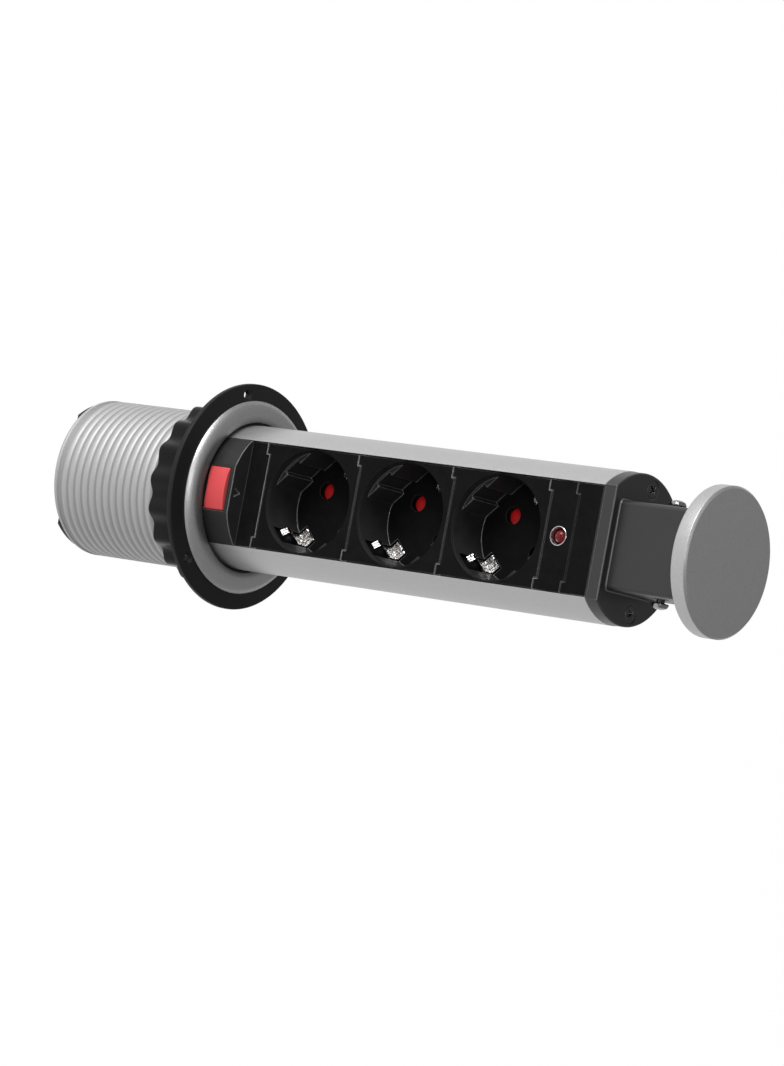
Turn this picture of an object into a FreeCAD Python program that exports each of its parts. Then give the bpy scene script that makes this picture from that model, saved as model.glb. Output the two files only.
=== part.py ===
import FreeCAD
import Part
import math
import os

# Pull-up desk socket tower, in millimetres.
# The origin is the centre of the flange's underside, which rests on the worktop.
# Z runs up the column's axis and the socket window faces -Y.
# The column is modelled fully pulled up, standing on its stop.

# Collar fixed to the worktop
flange_diameter = 89.3
flange_edge_height = 2.0
flange_hub_height = 3.05
trim_outer_diameter = 76.2
trim_inner_diameter = 59.4
trim_top = 6.3
barrel_diameter = 62.7
barrel_bore = 58.0
barrel_bottom = -71.6
barrel_top = 4.4
barrel_lip_radius = 31.4
barrel_lip_height = 1.4
thread_top = -1.0
thread_pitch = 3.7
thread_depth = 0.6
thread_crest = 1.2
thread_root = 0.3
screw_circle_diameter = 81.0
screw_hole_diameter = 3.0
screw_sink_depth = 1.2
screw_hole_count = 3
first_screw_angle = -44.6

# Ring nut, run up the barrel's thread to just under the flange
nut_lobes = 18
nut_crest_radius = 36.0
nut_valley_radius = 33.9
nut_bore_radius = 31.7
nut_bottom = -17.5
nut_height = 12.0

# Column extrusion
column_diameter = 57.2
wall = 2.0
window_width = 41.6
window_face = -19.0
lip_back = -14.3
lip_overlap = 4.0
port_x = 23.2
port_y = 4.3
port_radius = 3.2
port_hole_radius = 1.5

# Heights of what stands in the window, from the latch block up
latch_bottom = -14.0
latch_ledge = 16.8
latch_top = 26.1
socket_height = 45.0
socket_count = 3
lamp_height = 12.4
blank_height = 10.4
end_block_height = 5.1
neck_height = 34.3
cap_thickness = 6.45
seam = 0.15

# Section of the inserts: a head in the window and shoulders behind its lips
head_half_width = 20.6
shoulder_half_width = 22.2
shoulder_front = -14.1
shoulder_back = 0.6
body_half_width = 19.4
shallow_back = -9.2
face_ease = 0.25

# Keys at the inserts' corners, where each one overlaps the next below it
key_inner = 16.3
key_height = 1.5
key_depth = 2.6
key_play = 0.1

# Socket well, with its pin line at 45 degrees to the column
pin_line_angle = 45.0
well_radius = 19.7
well_depth = 18.8
well_floor_thickness = 3.0
rim_ease = 0.4
pin_spacing = 19.0
pin_hole_diameter = 6.5
flat_start = 3.0
flat_offset = 17.0
groove_offset = 18.7
groove_half_width = 3.4
slot_half_width = 3.8
slot_inner = 15.2
slot_outer = 20.8
chamber_radius = 17.0
post_radius = 1.5

# Shutter behind the well's floor
shutter_thickness = 3.0
shutter_gap = 0.25
shutter_hub_radius = 4.2
shutter_pad_radius = 3.9
shutter_arm_half_width = 2.6
shutter_ramp_angle = 16.0
shutter_play = 0.06
spring_thickness = 1.2
spring_leg_length = 16.4

# Contacts and the insulating back of a socket
body_back = 14.5
carrier_back = 21.0
carrier_half_width = 16.0
carrier_half_height = 19.5
contact_front = 8.2
contact_rear = 20.1
contact_leaf = 0.8
contact_half_gap = 2.3
contact_half_height = 3.0
earth_strip = 0.7
earth_base = 9.0
earth_half_width = 3.0
earth_finger_half_width = 1.3

# Pilot lamp
bezel_radius = 3.7
bezel_barrel_radius = 3.2
bezel_depth = 8.0
lens_radius = 2.7
lens_proud = 0.4

# Latch button and its leaf spring
button_half_width = 8.35
button_bottom = 5.05
button_top = 14.35
button_back = -22.0
button_bevel_angle = 40.0
button_gap = 0.2
stem_back = -14.5
stem_half_width = 4.5
stem_half_height = 2.1
latch_flat = -27.1
leaf_half_length = 7.2
leaf_seat = -10.6
leaf_thickness = 0.4
leaf_bow = 0.8

# Head of the column
cap_diameter = 55.1
cap_bevel = 0.9
neck_half_width = 16.7
neck_half_depth = 15.2
neck_corner_radius = 1.8
neck_pin_height = 203.7
neck_pin_root = 11.5
cap_bolt_x = 8.0
cap_bolt_radius = 2.0
cap_bolt_reach = 3.5

# Foot of the column and the cord's entry
foot_thickness = 3.8
foot_radius = 29.9
foot_front = -20.0
plug_radius = 15.8
plug_top = -58.0
cord_y = 4.5
cord_bore = 4.3
bush_radius = 6.0
clamp_screw_x = 9.5
clamp_height = 6.0

# Countersunk screws of the foot and the end block
screw_radius = 1.4
screw_head_radius = 3.4
screw_head_height = 2.0
screw_length = 14.0

column_radius = column_diameter / 2
inner_radius = column_radius - wall
half_window = window_width / 2
first_socket = latch_top
lamp_bottom = first_socket + socket_count * socket_height
lamp_centre = lamp_bottom + lamp_height / 2
blank_bottom = lamp_bottom + lamp_height
end_block_bottom = blank_bottom + blank_height
neck_bottom = end_block_bottom + end_block_height
cap_bottom = neck_bottom + neck_height
cap_top = cap_bottom + cap_thickness
foot_bottom = barrel_bottom - foot_thickness
well_floor = window_face + well_depth
floor_back = well_floor + well_floor_thickness
pin_radius = pin_spacing / 2
button_middle = (button_bottom + button_top) / 2
clamp_top = plug_top + clamp_height


def vec(x, y, z=0.0):
    return FreeCAD.Vector(x, y, z)


def joined(shapes):
    """One clean solid from overlapping or touching shapes."""
    first = shapes[0]
    return first.fuse(shapes[1:]).removeSplitter()


def box(x_span, y_span, z_span):
    """Box between the given pairs of limits."""
    size = [span[1] - span[0] for span in (x_span, y_span, z_span)]
    return Part.makeBox(size[0], size[1], size[2], vec(x_span[0], y_span[0], z_span[0]))


def span(side, near, far):
    """Limits of a stretch between two distances, on the given side of zero."""
    return sorted((side * near, side * far))


def rod(radius, start, direction, length):
    return Part.makeCylinder(radius, length, start, direction)


def upright(radius, x, y, bottom, top):
    """Cylinder standing along Z."""
    return rod(radius, vec(x, y, bottom), vec(0, 0, 1), top - bottom)


def inward(radius, x, z, front, back):
    """Cylinder along Y, from its front to its back."""
    return rod(radius, vec(x, front, z), vec(0, 1, 0), back - front)


def turned(outline):
    """Solid of revolution about Z from (radius, height) points."""
    points = [vec(r, 0, z) for r, z in outline]
    face = Part.Face(Part.makePolygon(points + points[:1]))
    return face.revolve(vec(0, 0, 0), vec(0, 0, 1), 360)


def prism(outline, bottom, top):
    """Upright prism from (x, y) points."""
    points = [vec(x, y, bottom) for x, y in outline]
    face = Part.Face(Part.makePolygon(points + points[:1]))
    return face.extrude(vec(0, 0, top - bottom))


def mirrored(outline):
    """Closed outline from the points of its +X half, front to back."""
    return outline + [(-x, y) for x, y in reversed(outline)]


def on_circle(radius, degrees):
    angle = math.radians(degrees)
    return vec(radius * math.cos(angle), radius * math.sin(angle))


def closed_wire(curves):
    return Part.Wire([curve.toShape() for curve in curves])


def edges_where(shape, test):
    return [edge for edge in shape.Edges if test(edge)]


def cut_all(shape, tools):
    for tool in tools:
        shape = shape.cut(tool)
    return shape


# Collar

def barrel():
    """Tube with a plain lip at its end and the ridges of its coarse thread."""
    crest = barrel_diameter / 2
    root = crest - thread_depth
    bore = barrel_bore / 2
    ease = 0.4
    thread_bottom = barrel_bottom + barrel_lip_height + thread_root
    outline = [
        (bore, barrel_bottom),
        (barrel_lip_radius - ease, barrel_bottom),
        (barrel_lip_radius, barrel_bottom + ease),
        (barrel_lip_radius, barrel_bottom + barrel_lip_height - ease),
        (root, thread_bottom - thread_root / 2),
    ]
    flank = (thread_pitch - thread_crest - thread_root) / 2
    for turn in range(int((thread_top - thread_bottom) / thread_pitch)):
        foot = thread_bottom + turn * thread_pitch
        outline += [
            (root, foot),
            (crest, foot + flank),
            (crest, foot + flank + thread_crest),
            (root, foot + 2 * flank + thread_crest),
        ]
    return turned(outline + [(root, thread_top), (crest, thread_top), (crest, barrel_top), (bore, barrel_top)])


def flange():
    """Thin moulded flange that rises towards the trim ring."""
    edge = flange_diameter / 2
    hub = trim_outer_diameter / 2
    ease = 0.4
    plate = turned([
        (barrel_diameter / 2, 0),
        (edge, 0),
        (edge, flange_edge_height - ease),
        (edge - ease, flange_edge_height),
        (hub, flange_hub_height),
        (barrel_diameter / 2, flange_hub_height),
    ])
    hole_radius = screw_hole_diameter / 2
    sink_bottom = flange_hub_height - screw_sink_depth
    for index in range(screw_hole_count):
        centre = on_circle(screw_circle_diameter / 2, first_screw_angle + index * 360 / screw_hole_count)
        hole = upright(hole_radius, centre.x, centre.y, -1, flange_hub_height + 1)
        sink = Part.makeCone(hole_radius, hole_radius + screw_sink_depth, screw_sink_depth,
                             vec(centre.x, centre.y, sink_bottom))
        plate = cut_all(plate, [hole, sink])
    return plate


def trim_ring():
    """Turned ring with a convex face, fitted over the barrel's top end."""
    outer = trim_outer_diameter / 2
    inner = trim_inner_diameter / 2
    seat = barrel_diameter / 2
    crest = vec(inner + 3.4, 0, trim_top)
    outer_foot = vec(outer, 0, flange_hub_height + 0.4)
    inner_edge = vec(inner, 0, trim_top - 1.2)
    corners = [
        inner_edge,
        vec(inner, 0, barrel_top),
        vec(seat, 0, barrel_top),
        vec(seat, 0, flange_hub_height),
        vec(outer, 0, flange_hub_height),
        outer_foot,
    ]
    curves = [Part.LineSegment(a, b) for a, b in zip(corners, corners[1:])]
    curves.append(Part.Arc(outer_foot, vec(outer - 1.7, 0, trim_top - 1.0), crest))
    curves.append(Part.Arc(crest, vec(inner + 1.2, 0, trim_top - 0.35), inner_edge))
    return Part.Face(closed_wire(curves)).revolve(vec(0, 0, 0), vec(0, 0, 1), 360)


def ring_nut():
    """Clamping nut with rounded finger lobes all round and a bevelled lower edge."""
    step = 360 / nut_lobes
    middle = (nut_crest_radius + nut_valley_radius) / 2
    curves = []
    for index in range(nut_lobes):
        angle = -90 + index * step
        start = on_circle(middle, angle - step / 4)
        end = on_circle(middle, angle + step / 4)
        following = on_circle(middle, angle + 3 * step / 4)
        curves.append(Part.Arc(start, on_circle(nut_crest_radius, angle), end))
        curves.append(Part.Arc(end, on_circle(nut_valley_radius, angle + step / 2), following))
    body = Part.Face(closed_wire(curves)).extrude(vec(0, 0, nut_height))
    body.translate(vec(0, 0, nut_bottom))
    clear_radius = nut_crest_radius + 0.2
    bevel = 0.8
    blank = turned([
        (nut_bore_radius, nut_bottom),
        (clear_radius - bevel, nut_bottom),
        (clear_radius, nut_bottom + bevel),
        (clear_radius, nut_bottom + nut_height),
        (nut_bore_radius, nut_bottom + nut_height),
    ])
    return body.common(blank)


# Column section

def column_profile():
    """C-shaped extrusion with window lips and two screw ports."""
    bottom = barrel_bottom
    top = end_block_bottom
    tube = turned([
        (inner_radius, bottom),
        (column_radius, bottom),
        (column_radius, top),
        (inner_radius, top),
    ])
    within_wall = upright(inner_radius + wall / 2, 0, 0, bottom, top)
    lip_reach = half_window + lip_overlap
    lips = box((-lip_reach, lip_reach), (window_face - 3, lip_back), (bottom, top))
    inner_ribs = [lips] + [upright(port_radius, side * port_x, port_y, bottom, top) for side in (-1, 1)]
    shape = joined([tube] + [rib.common(within_wall) for rib in inner_ribs])
    window = box((-half_window, half_window), (-column_radius - 1, lip_back + 9), (bottom - 1, top + 1))
    ports = [upright(port_hole_radius, side * port_x, port_y, bottom - 1, top + 1) for side in (-1, 1)]
    return cut_all(shape, [window] + ports).removeSplitter()


def window_insert(bottom, top, back, back_half_width=shoulder_half_width):
    """Insert that slides into the window: head, shoulders and a back part."""
    outline = [
        (head_half_width, window_face),
        (head_half_width, shoulder_front),
        (shoulder_half_width, shoulder_front),
        (shoulder_half_width, min(back, shoulder_back)),
    ]
    if back > shoulder_back:
        outline += [(back_half_width, shoulder_back), (back_half_width, back)]
    return prism(mirrored(outline), bottom, top)


def ease_front(shape):
    """Chamfer along the upper and lower front edges of an insert."""
    def is_front(edge):
        return edge.Length > 2 * head_half_width - 0.01 and abs(edge.CenterOfMass.y - window_face) < 0.01

    return shape.makeChamfer(face_ease, edges_where(shape, is_front))


def keyed(shape, bottom, top, below=True, above=True):
    """Ears on the lower corners of an insert and notches for the next one's."""
    for side in (-1, 1):
        ear = box(span(side, key_inner + key_play, head_half_width),
                  (window_face, window_face + key_depth - key_play),
                  (bottom - key_height, bottom + 1))
        notch = box(span(side, key_inner, head_half_width + 1),
                    (window_face - 1, window_face + key_depth),
                    (top - key_height, top + 1))
        if below:
            shape = shape.fuse(ear)
        if above:
            shape = shape.cut(notch)
    return shape.removeSplitter()


# Sockets

def socket_centre(index):
    return first_socket + (index + 0.5) * socket_height


def placed_in_well(shape, index):
    """Move a shape from the well's own frame to socket number index.

    In that frame X is the pin line, Y the depth as in the column, Z the earth line.
    """
    shape.rotate(vec(0, 0, 0), vec(0, 1, 0), -pin_line_angle)
    shape.translate(vec(0, 0, socket_centre(index)))
    return shape


def well_space():
    """The hollow of one well, with its flats, guide grooves, pin holes and clip slots."""
    outside = well_radius + 1
    space = inward(well_radius, 0, 0, window_face - 1, well_floor)
    flat_depth = (window_face + flat_start, well_floor + 1)
    flats = []
    for side in (-1, 1):
        flats.append(box(span(side, groove_offset, outside), flat_depth,
                         (-groove_half_width - 1, groove_half_width + 1)))
        for hand in (-1, 1):
            flats.append(box(span(side, flat_offset, outside), flat_depth,
                             span(hand, groove_half_width, 12)))
    space = cut_all(space, flats)
    rim = Part.makeCone(well_radius + rim_ease, well_radius, rim_ease, vec(0, window_face, 0), vec(0, 1, 0))
    parts = [space, rim]
    for side in (-1, 1):
        parts.append(inward(pin_hole_diameter / 2, side * pin_radius, 0, well_floor - 1, floor_back + 1))
        parts.append(box((-slot_half_width, slot_half_width),
                         (window_face + flat_start - 0.2, body_back + 1),
                         span(side, slot_inner, slot_outer)))
    return joined(parts)


def socket_body(index):
    """Front moulding of one socket: face, well, floor and the shutter's post."""
    bottom = first_socket + index * socket_height
    top = bottom + socket_height - seam
    body = ease_front(window_insert(bottom, top, body_back, body_half_width))
    body = keyed(body, bottom, top)
    chamber = inward(chamber_radius, 0, 0, floor_back, body_back + 1)
    body = body.cut(placed_in_well(joined([well_space(), chamber]), index))
    post = inward(post_radius, 0, 0, floor_back - 0.5, earth_base)
    return body.fuse(placed_in_well(post, index)).removeSplitter()


def socket_back(index):
    """Insulating back with a chamber for each pin contact and a rib for the earth strip."""
    centre = socket_centre(index)
    back = box((-carrier_half_width, carrier_half_width), (body_back, carrier_back),
               (centre - carrier_half_height, centre + carrier_half_height))

    def is_rear_side(edge):
        return edge.Length > 2 * carrier_half_height - 0.01 and edge.CenterOfMass.y > carrier_back - 0.1

    back = back.makeChamfer(2.0, edges_where(back, is_rear_side))
    rib = box((-2.4, 2.4), (earth_base + earth_strip, body_back + 1), (-8, 8))
    back = joined([back, placed_in_well(rib, index)])
    reach = contact_half_gap + contact_leaf + 1.1
    for side in (-1, 1):
        chamber = box(span(side, pin_radius - reach, pin_radius + reach),
                      (body_back - 1, contact_rear + 0.1),
                      (-contact_half_height - 0.1, contact_half_height + 0.1))
        back = back.cut(placed_in_well(chamber, index))
    return back


def pin_contact(index, side):
    """Sprung U-shaped contact that grips one plug pin, with a flared mouth."""
    flare = 1.0
    flare_back = contact_front + 2.5
    outer = contact_half_gap + contact_leaf
    outside = [
        (outer + flare, contact_front),
        (outer, flare_back),
        (outer, contact_rear),
    ]
    inside = [
        (contact_half_gap, contact_rear - contact_leaf),
        (contact_half_gap, flare_back),
        (contact_half_gap + flare, contact_front),
    ]
    leaf = outside + [(0, contact_rear), (0, contact_rear - contact_leaf)] + inside
    contact = joined([prism([(hand * x, y) for x, y in leaf], -contact_half_height, contact_half_height)
                      for hand in (-1, 1)])
    contact.translate(vec(side * pin_radius, 0, 0))
    return placed_in_well(contact, index)


def bent_strip(path, half_width):
    """Strip of the earth contact's thickness along (reach, depth) points."""
    spine = Part.makePolygon([vec(-half_width, depth, reach) for reach, depth in path])
    return Part.Face(spine.makeOffset2D(earth_strip / 2)).extrude(vec(2 * half_width, 0, 0))


def earth_contact(index):
    """One strip behind the floor with a shelf and a sprung finger at each side of the well."""
    half = earth_strip / 2
    base_depth = earth_base + half
    shelf_depth = well_floor + half
    riser = slot_inner + 0.2 + half
    wall_reach = well_radius + 0.05
    wall_front = window_face + 14.0
    bow_reach = riser + 0.45
    parts = []
    for side in (-1, 1):
        base = [(0, base_depth), (riser, base_depth), (riser, shelf_depth), (wall_reach, shelf_depth),
                (wall_reach, wall_front)]
        finger = [(wall_reach, wall_front), (bow_reach, window_face + 6.6), (bow_reach, window_face + 5.8),
                  (wall_reach - 1.3, window_face + 4.2)]
        parts.append(bent_strip([(side * reach, depth) for reach, depth in base], earth_half_width))
        parts.append(bent_strip([(side * reach, depth) for reach, depth in finger], earth_finger_half_width))
    return placed_in_well(joined(parts), index)


def shutter(index):
    """Safety shutter that turns on its post, with a ramped pad over each pin hole."""
    front = floor_back + shutter_gap
    back = front + shutter_thickness
    parts = [inward(shutter_pad_radius, side * pin_radius, 0, front, back) for side in (-1, 1)]
    parts.append(inward(shutter_hub_radius, 0, 0, front, back))
    parts.append(box((-pin_radius, pin_radius), (front, back),
                     (-shutter_arm_half_width, shutter_arm_half_width)))
    shape = joined(parts)
    for side in (-1, 1):
        edge = side * shutter_pad_radius
        ramp = box(span(side, pin_radius - shutter_pad_radius, pin_radius + 5), (front - 4, front), (-12, 12))
        ramp.rotate(vec(0, front, edge), vec(1, 0, 0), side * shutter_ramp_angle)
        shape = shape.cut(ramp)
    shape = shape.cut(inward(post_radius + shutter_play, 0, 0, front - 1, back + 1))
    return placed_in_well(shape, index)


def shutter_spring(index):
    """Flat return spring round the post, its leg resting near the chamber's wall."""
    front = floor_back + shutter_gap + shutter_thickness + 0.3
    back = front + spring_thickness
    ring = inward(post_radius + 1.9, 0, 0, front, back)
    leg = box((2.4, spring_leg_length), (front, back), (-0.5, 0.5))
    leg.rotate(vec(0, 0, 0), vec(0, 1, 0), 60)
    spring = joined([ring, leg]).cut(inward(post_radius + 0.4, 0, 0, front - 1, back + 1))
    return placed_in_well(spring, index)


# Lamp, blank and lower cover

def lamp_module():
    """Narrow insert with a hole for the pilot lamp."""
    top = lamp_bottom + lamp_height - seam
    body = keyed(ease_front(window_insert(lamp_bottom, top, shallow_back)), lamp_bottom, top)
    return body.cut(inward(bezel_barrel_radius + 0.05, 0, lamp_centre, window_face - 1, shallow_back + 1))


def blank_module():
    """Plain insert that fills the window above the lamp."""
    top = blank_bottom + blank_height - seam
    body = ease_front(window_insert(blank_bottom, top, shallow_back))
    return keyed(body, blank_bottom, top, above=False)


def lower_cover():
    """Blank strip that closes the window inside the barrel."""
    return window_insert(barrel_bottom, latch_bottom - seam, cord_y - plug_radius - 0.1)


def on_face(shape):
    """Stand a shape turned about Z on the window's face, at the lamp's centre."""
    shape.rotate(vec(0, 0, 0), vec(1, 0, 0), 90)
    shape.translate(vec(0, window_face, lamp_centre))
    return shape


def lamp_bezel():
    """Turned bezel with a dished face."""
    return on_face(turned([
        (lens_radius, -bezel_depth),
        (bezel_barrel_radius, -bezel_depth),
        (bezel_barrel_radius, 0),
        (bezel_radius, 0),
        (bezel_radius, 0.25),
        (bezel_radius - 0.3, 0.55),
        (lens_radius, -1.2),
    ]))


def lamp_lens():
    """Pilot lamp with a domed front."""
    centre = lens_proud - lens_radius
    facets = 5
    outline = [(0, -bezel_depth - 1), (lens_radius, -bezel_depth - 1)]
    for step in range(facets + 1):
        angle = math.radians(90 * step / facets)
        outline.append((lens_radius * math.cos(angle), centre + lens_radius * math.sin(angle)))
    return on_face(turned(outline[:-1] + [(0, lens_proud)]))


# Latch

def latch_block():
    """Full-round block below the sockets, with the button's pocket in its flat."""
    round_part = upright(column_radius - 0.05, 0, 0, latch_bottom, latch_ledge)
    front = box((-head_half_width, head_half_width), (latch_flat, shoulder_front), (latch_bottom, latch_ledge))
    top = latch_top - seam
    block = joined([round_part.common(front), window_insert(latch_bottom, top, shallow_back)])
    block = keyed(block, latch_bottom, top, below=False)
    pocket_half_width = button_half_width + button_gap
    pocket_half_height = (button_top - button_bottom) / 2 + button_gap
    stem_way_half_width = stem_half_width + 0.3
    leaf_front = leaf_seat - leaf_thickness - leaf_bow
    ways = [
        (pocket_half_width, pocket_half_height, -column_radius - 1, button_back + 2.8),
        (stem_way_half_width, stem_half_height + 0.3, button_back, leaf_seat),
        (leaf_half_length + 0.3, 1.9, leaf_front - 0.2, leaf_seat),
        (leaf_half_length - 1.2, 1.9, leaf_seat - 1, shallow_back + 1),
    ]
    for half_width, half_height, way_front, way_back in ways:
        block = block.cut(box((-half_width, half_width), (way_front, way_back),
                              (button_middle - half_height, button_middle + half_height)))
    mark = prism([(-1.0, -25.0), (2.4, -25.0), (0.7, -21.7)], latch_ledge - 0.7, latch_ledge + 1)
    return block.cut(mark)


def latch_button():
    """Push button, crowned to the column's round, with a bevelled lower edge."""
    head_box = box((-button_half_width, button_half_width), (-column_radius - 1, button_back),
                   (button_bottom, button_top))
    head = upright(column_radius, 0, 0, button_bottom, button_top).common(head_box)
    bevel = box((-12, 12), (-4, 0), (-6, 6))
    bevel.rotate(vec(0, 0, 0), vec(1, 0, 0), button_bevel_angle)
    bevel.translate(vec(0, -column_radius + 0.55, button_bottom))
    stem = box((-stem_half_width, stem_half_width), (button_back - 0.5, stem_back),
               (button_middle - stem_half_height, button_middle + stem_half_height))
    return joined([head.cut(bevel), stem])


def latch_spring():
    """Bowed leaf behind the button's stem, drawn at its pressed shape."""
    front_seat = leaf_seat - leaf_thickness
    front_ends = [vec(-leaf_half_length, front_seat), vec(leaf_half_length, front_seat)]
    back_ends = [vec(-leaf_half_length, leaf_seat), vec(leaf_half_length, leaf_seat)]
    leaf = Part.Face(closed_wire([
        Part.Arc(front_ends[0], vec(0, front_seat - leaf_bow), front_ends[1]),
        Part.LineSegment(front_ends[1], back_ends[1]),
        Part.Arc(back_ends[1], vec(0, leaf_seat - leaf_bow), back_ends[0]),
        Part.LineSegment(back_ends[0], front_ends[0]),
    ])).extrude(vec(0, 0, 3.2))
    leaf.translate(vec(0, 0, button_middle - 1.6))
    return leaf


# Screws

def screw_pair(face, into):
    """Countersunk screws in both ports, just under the given face."""
    screws = []
    for side in (-1, 1):
        start = vec(side * port_x, port_y, face + into * 0.2)
        head = Part.makeCone(screw_head_radius, screw_radius, screw_head_height, start, vec(0, 0, into))
        screws.append(joined([head, rod(screw_radius, start, vec(0, 0, into), screw_length)]))
    return Part.makeCompound(screws)


def countersinks(face, into):
    """The holes that such a pair of screws seats in."""
    sinks = []
    for side in (-1, 1):
        start = vec(side * port_x, port_y, face)
        cone = Part.makeCone(screw_head_radius + 0.35, screw_radius + 0.05, screw_head_height + 0.3,
                             start, vec(0, 0, into))
        sinks.append(cone.fuse(rod(screw_radius + 0.3, start, vec(0, 0, into), end_block_height + 3)))
    return sinks


def d_disc(radius, front, bottom, top):
    """Disc cut off flat at its front."""
    disc = upright(radius, 0, 0, bottom, top)
    return disc.cut(box((-radius, radius), (-radius - 1, front), (bottom - 1, top + 1)))


# Head of the column

def end_block():
    """End piece that caps the extrusion and holds the inserts."""
    disc = d_disc(column_radius - 0.2, window_face, end_block_bottom, neck_bottom)
    block = disc.makeChamfer(0.35, edges_where(disc, lambda edge: edge.CenterOfMass.z > neck_bottom - 0.01))
    block = cut_all(block, countersinks(neck_bottom, -1))
    for side in (-1, 1):
        x = side * cap_bolt_x
        block = block.cut(upright(cap_bolt_radius + 0.2, x, 0, end_block_bottom - 1, neck_bottom + 1))
        block = block.cut(upright(cap_bolt_radius + 1.8, x, 0, end_block_bottom - 1, end_block_bottom + 2.4))
    return block


def neck():
    """Moulded neck between the end block and the cap, with eased corners."""
    block = box((-neck_half_width, neck_half_width), (-neck_half_depth, neck_half_depth),
                (neck_bottom, cap_bottom))
    corners = edges_where(block, lambda edge: abs(edge.Length - neck_height) < 0.01)
    block = block.makeFillet(neck_corner_radius, corners)
    for side in (-1, 1):
        bolt_way = upright(cap_bolt_radius + 0.2, side * cap_bolt_x, 0, neck_bottom - 1, cap_bottom + 1)
        pin_way = rod(1.6, vec(side * neck_pin_root, 0, neck_pin_height), vec(side, 0, 0), 8)
        block = cut_all(block, [bolt_way, pin_way])
    return block


def neck_pin(side):
    """Shouldered pin with a rounded head, pressed into the neck's side."""
    pin = turned([
        (0, 0),
        (1.6, 0),
        (1.6, 6.4),
        (3.0, 6.4),
        (3.25, 6.7),
        (3.25, 7.1),
        (2.8, 8.0),
        (1.6, 8.6),
        (0, 8.8),
    ])
    pin.rotate(vec(0, 0, 0), vec(0, 1, 0), 90 * side)
    pin.translate(vec(side * neck_pin_root, 0, neck_pin_height))
    return pin


def cap_bolts():
    """Bolts from under the end block up into the cap."""
    head_bottom = end_block_bottom + 0.2
    bolts = []
    for side in (-1, 1):
        shank = upright(cap_bolt_radius, side * cap_bolt_x, 0, head_bottom, cap_bottom + cap_bolt_reach)
        head = upright(cap_bolt_radius + 1.5, side * cap_bolt_x, 0, head_bottom, end_block_bottom + 2.4)
        bolts.append(joined([head, shank]))
    return Part.makeCompound(bolts)


def cap():
    """Turned disc with a bright bevel round its top face."""
    radius = cap_diameter / 2
    disc = turned([
        (0, cap_bottom),
        (radius - 0.4, cap_bottom),
        (radius, cap_bottom + 0.4),
        (radius, cap_top - cap_bevel),
        (radius - cap_bevel, cap_top),
        (0, cap_top),
    ])
    holes = [upright(cap_bolt_radius, side * cap_bolt_x, 0, cap_bottom - 1, cap_bottom + cap_bolt_reach)
             for side in (-1, 1)]
    return cut_all(disc, holes)


# Foot of the column

def foot():
    """Closing plate whose rim meets the barrel's end and stops the column."""
    plate = d_disc(foot_radius, foot_front, foot_bottom, barrel_bottom)
    plate = plate.makeChamfer(0.25, edges_where(plate, lambda edge: edge.CenterOfMass.z < foot_bottom + 0.01))
    shape = joined([plate, upright(plug_radius, 0, cord_y, barrel_bottom - 1, plug_top)])
    shape = shape.cut(upright(bush_radius, 0, cord_y, foot_bottom - 1, plug_top + 1))
    shape = cut_all(shape, countersinks(foot_bottom, 1))
    pilots = [upright(1.25, side * clamp_screw_x, cord_y, plug_top - 6, plug_top + 1) for side in (-1, 1)]
    return cut_all(shape, pilots)


def cord_bush():
    """Rubber bush in the foot, through which the supply cord enters."""
    lip_radius = bush_radius + 2.6
    lip_bottom = foot_bottom - 2.5
    shape = turned([
        (cord_bore, lip_bottom),
        (lip_radius - 0.6, lip_bottom),
        (lip_radius, lip_bottom + 0.6),
        (lip_radius, foot_bottom),
        (bush_radius, foot_bottom),
        (bush_radius, plug_top - 1.0),
        (cord_bore, plug_top - 1.0),
    ])
    shape.translate(vec(0, cord_y, 0))
    return shape


def cord_clamp():
    """Saddle that grips the supply cord on top of the plug."""
    half_depth = 7.0
    saddle = box((-12.5, 12.5), (cord_y - half_depth, cord_y + half_depth), (plug_top, clamp_top))

    def is_top_end(edge):
        return abs(edge.Length - 2 * half_depth) < 0.01 and edge.CenterOfMass.z > clamp_top - 0.1

    saddle = saddle.makeChamfer(1.5, edges_where(saddle, is_top_end))
    saddle = saddle.cut(upright(cord_bore + 0.4, 0, cord_y, plug_top - 1, clamp_top + 1))
    holes = [upright(1.6, side * clamp_screw_x, cord_y, plug_top - 1, clamp_top + 1) for side in (-1, 1)]
    return cut_all(saddle, holes)


def clamp_screws():
    screws = []
    for side in (-1, 1):
        head = upright(2.5, side * clamp_screw_x, cord_y, clamp_top, clamp_top + 1.6)
        shank = upright(1.25, side * clamp_screw_x, cord_y, plug_top - 6, clamp_top + 0.5)
        screws.append(joined([head, shank]))
    return Part.makeCompound(screws)


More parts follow.
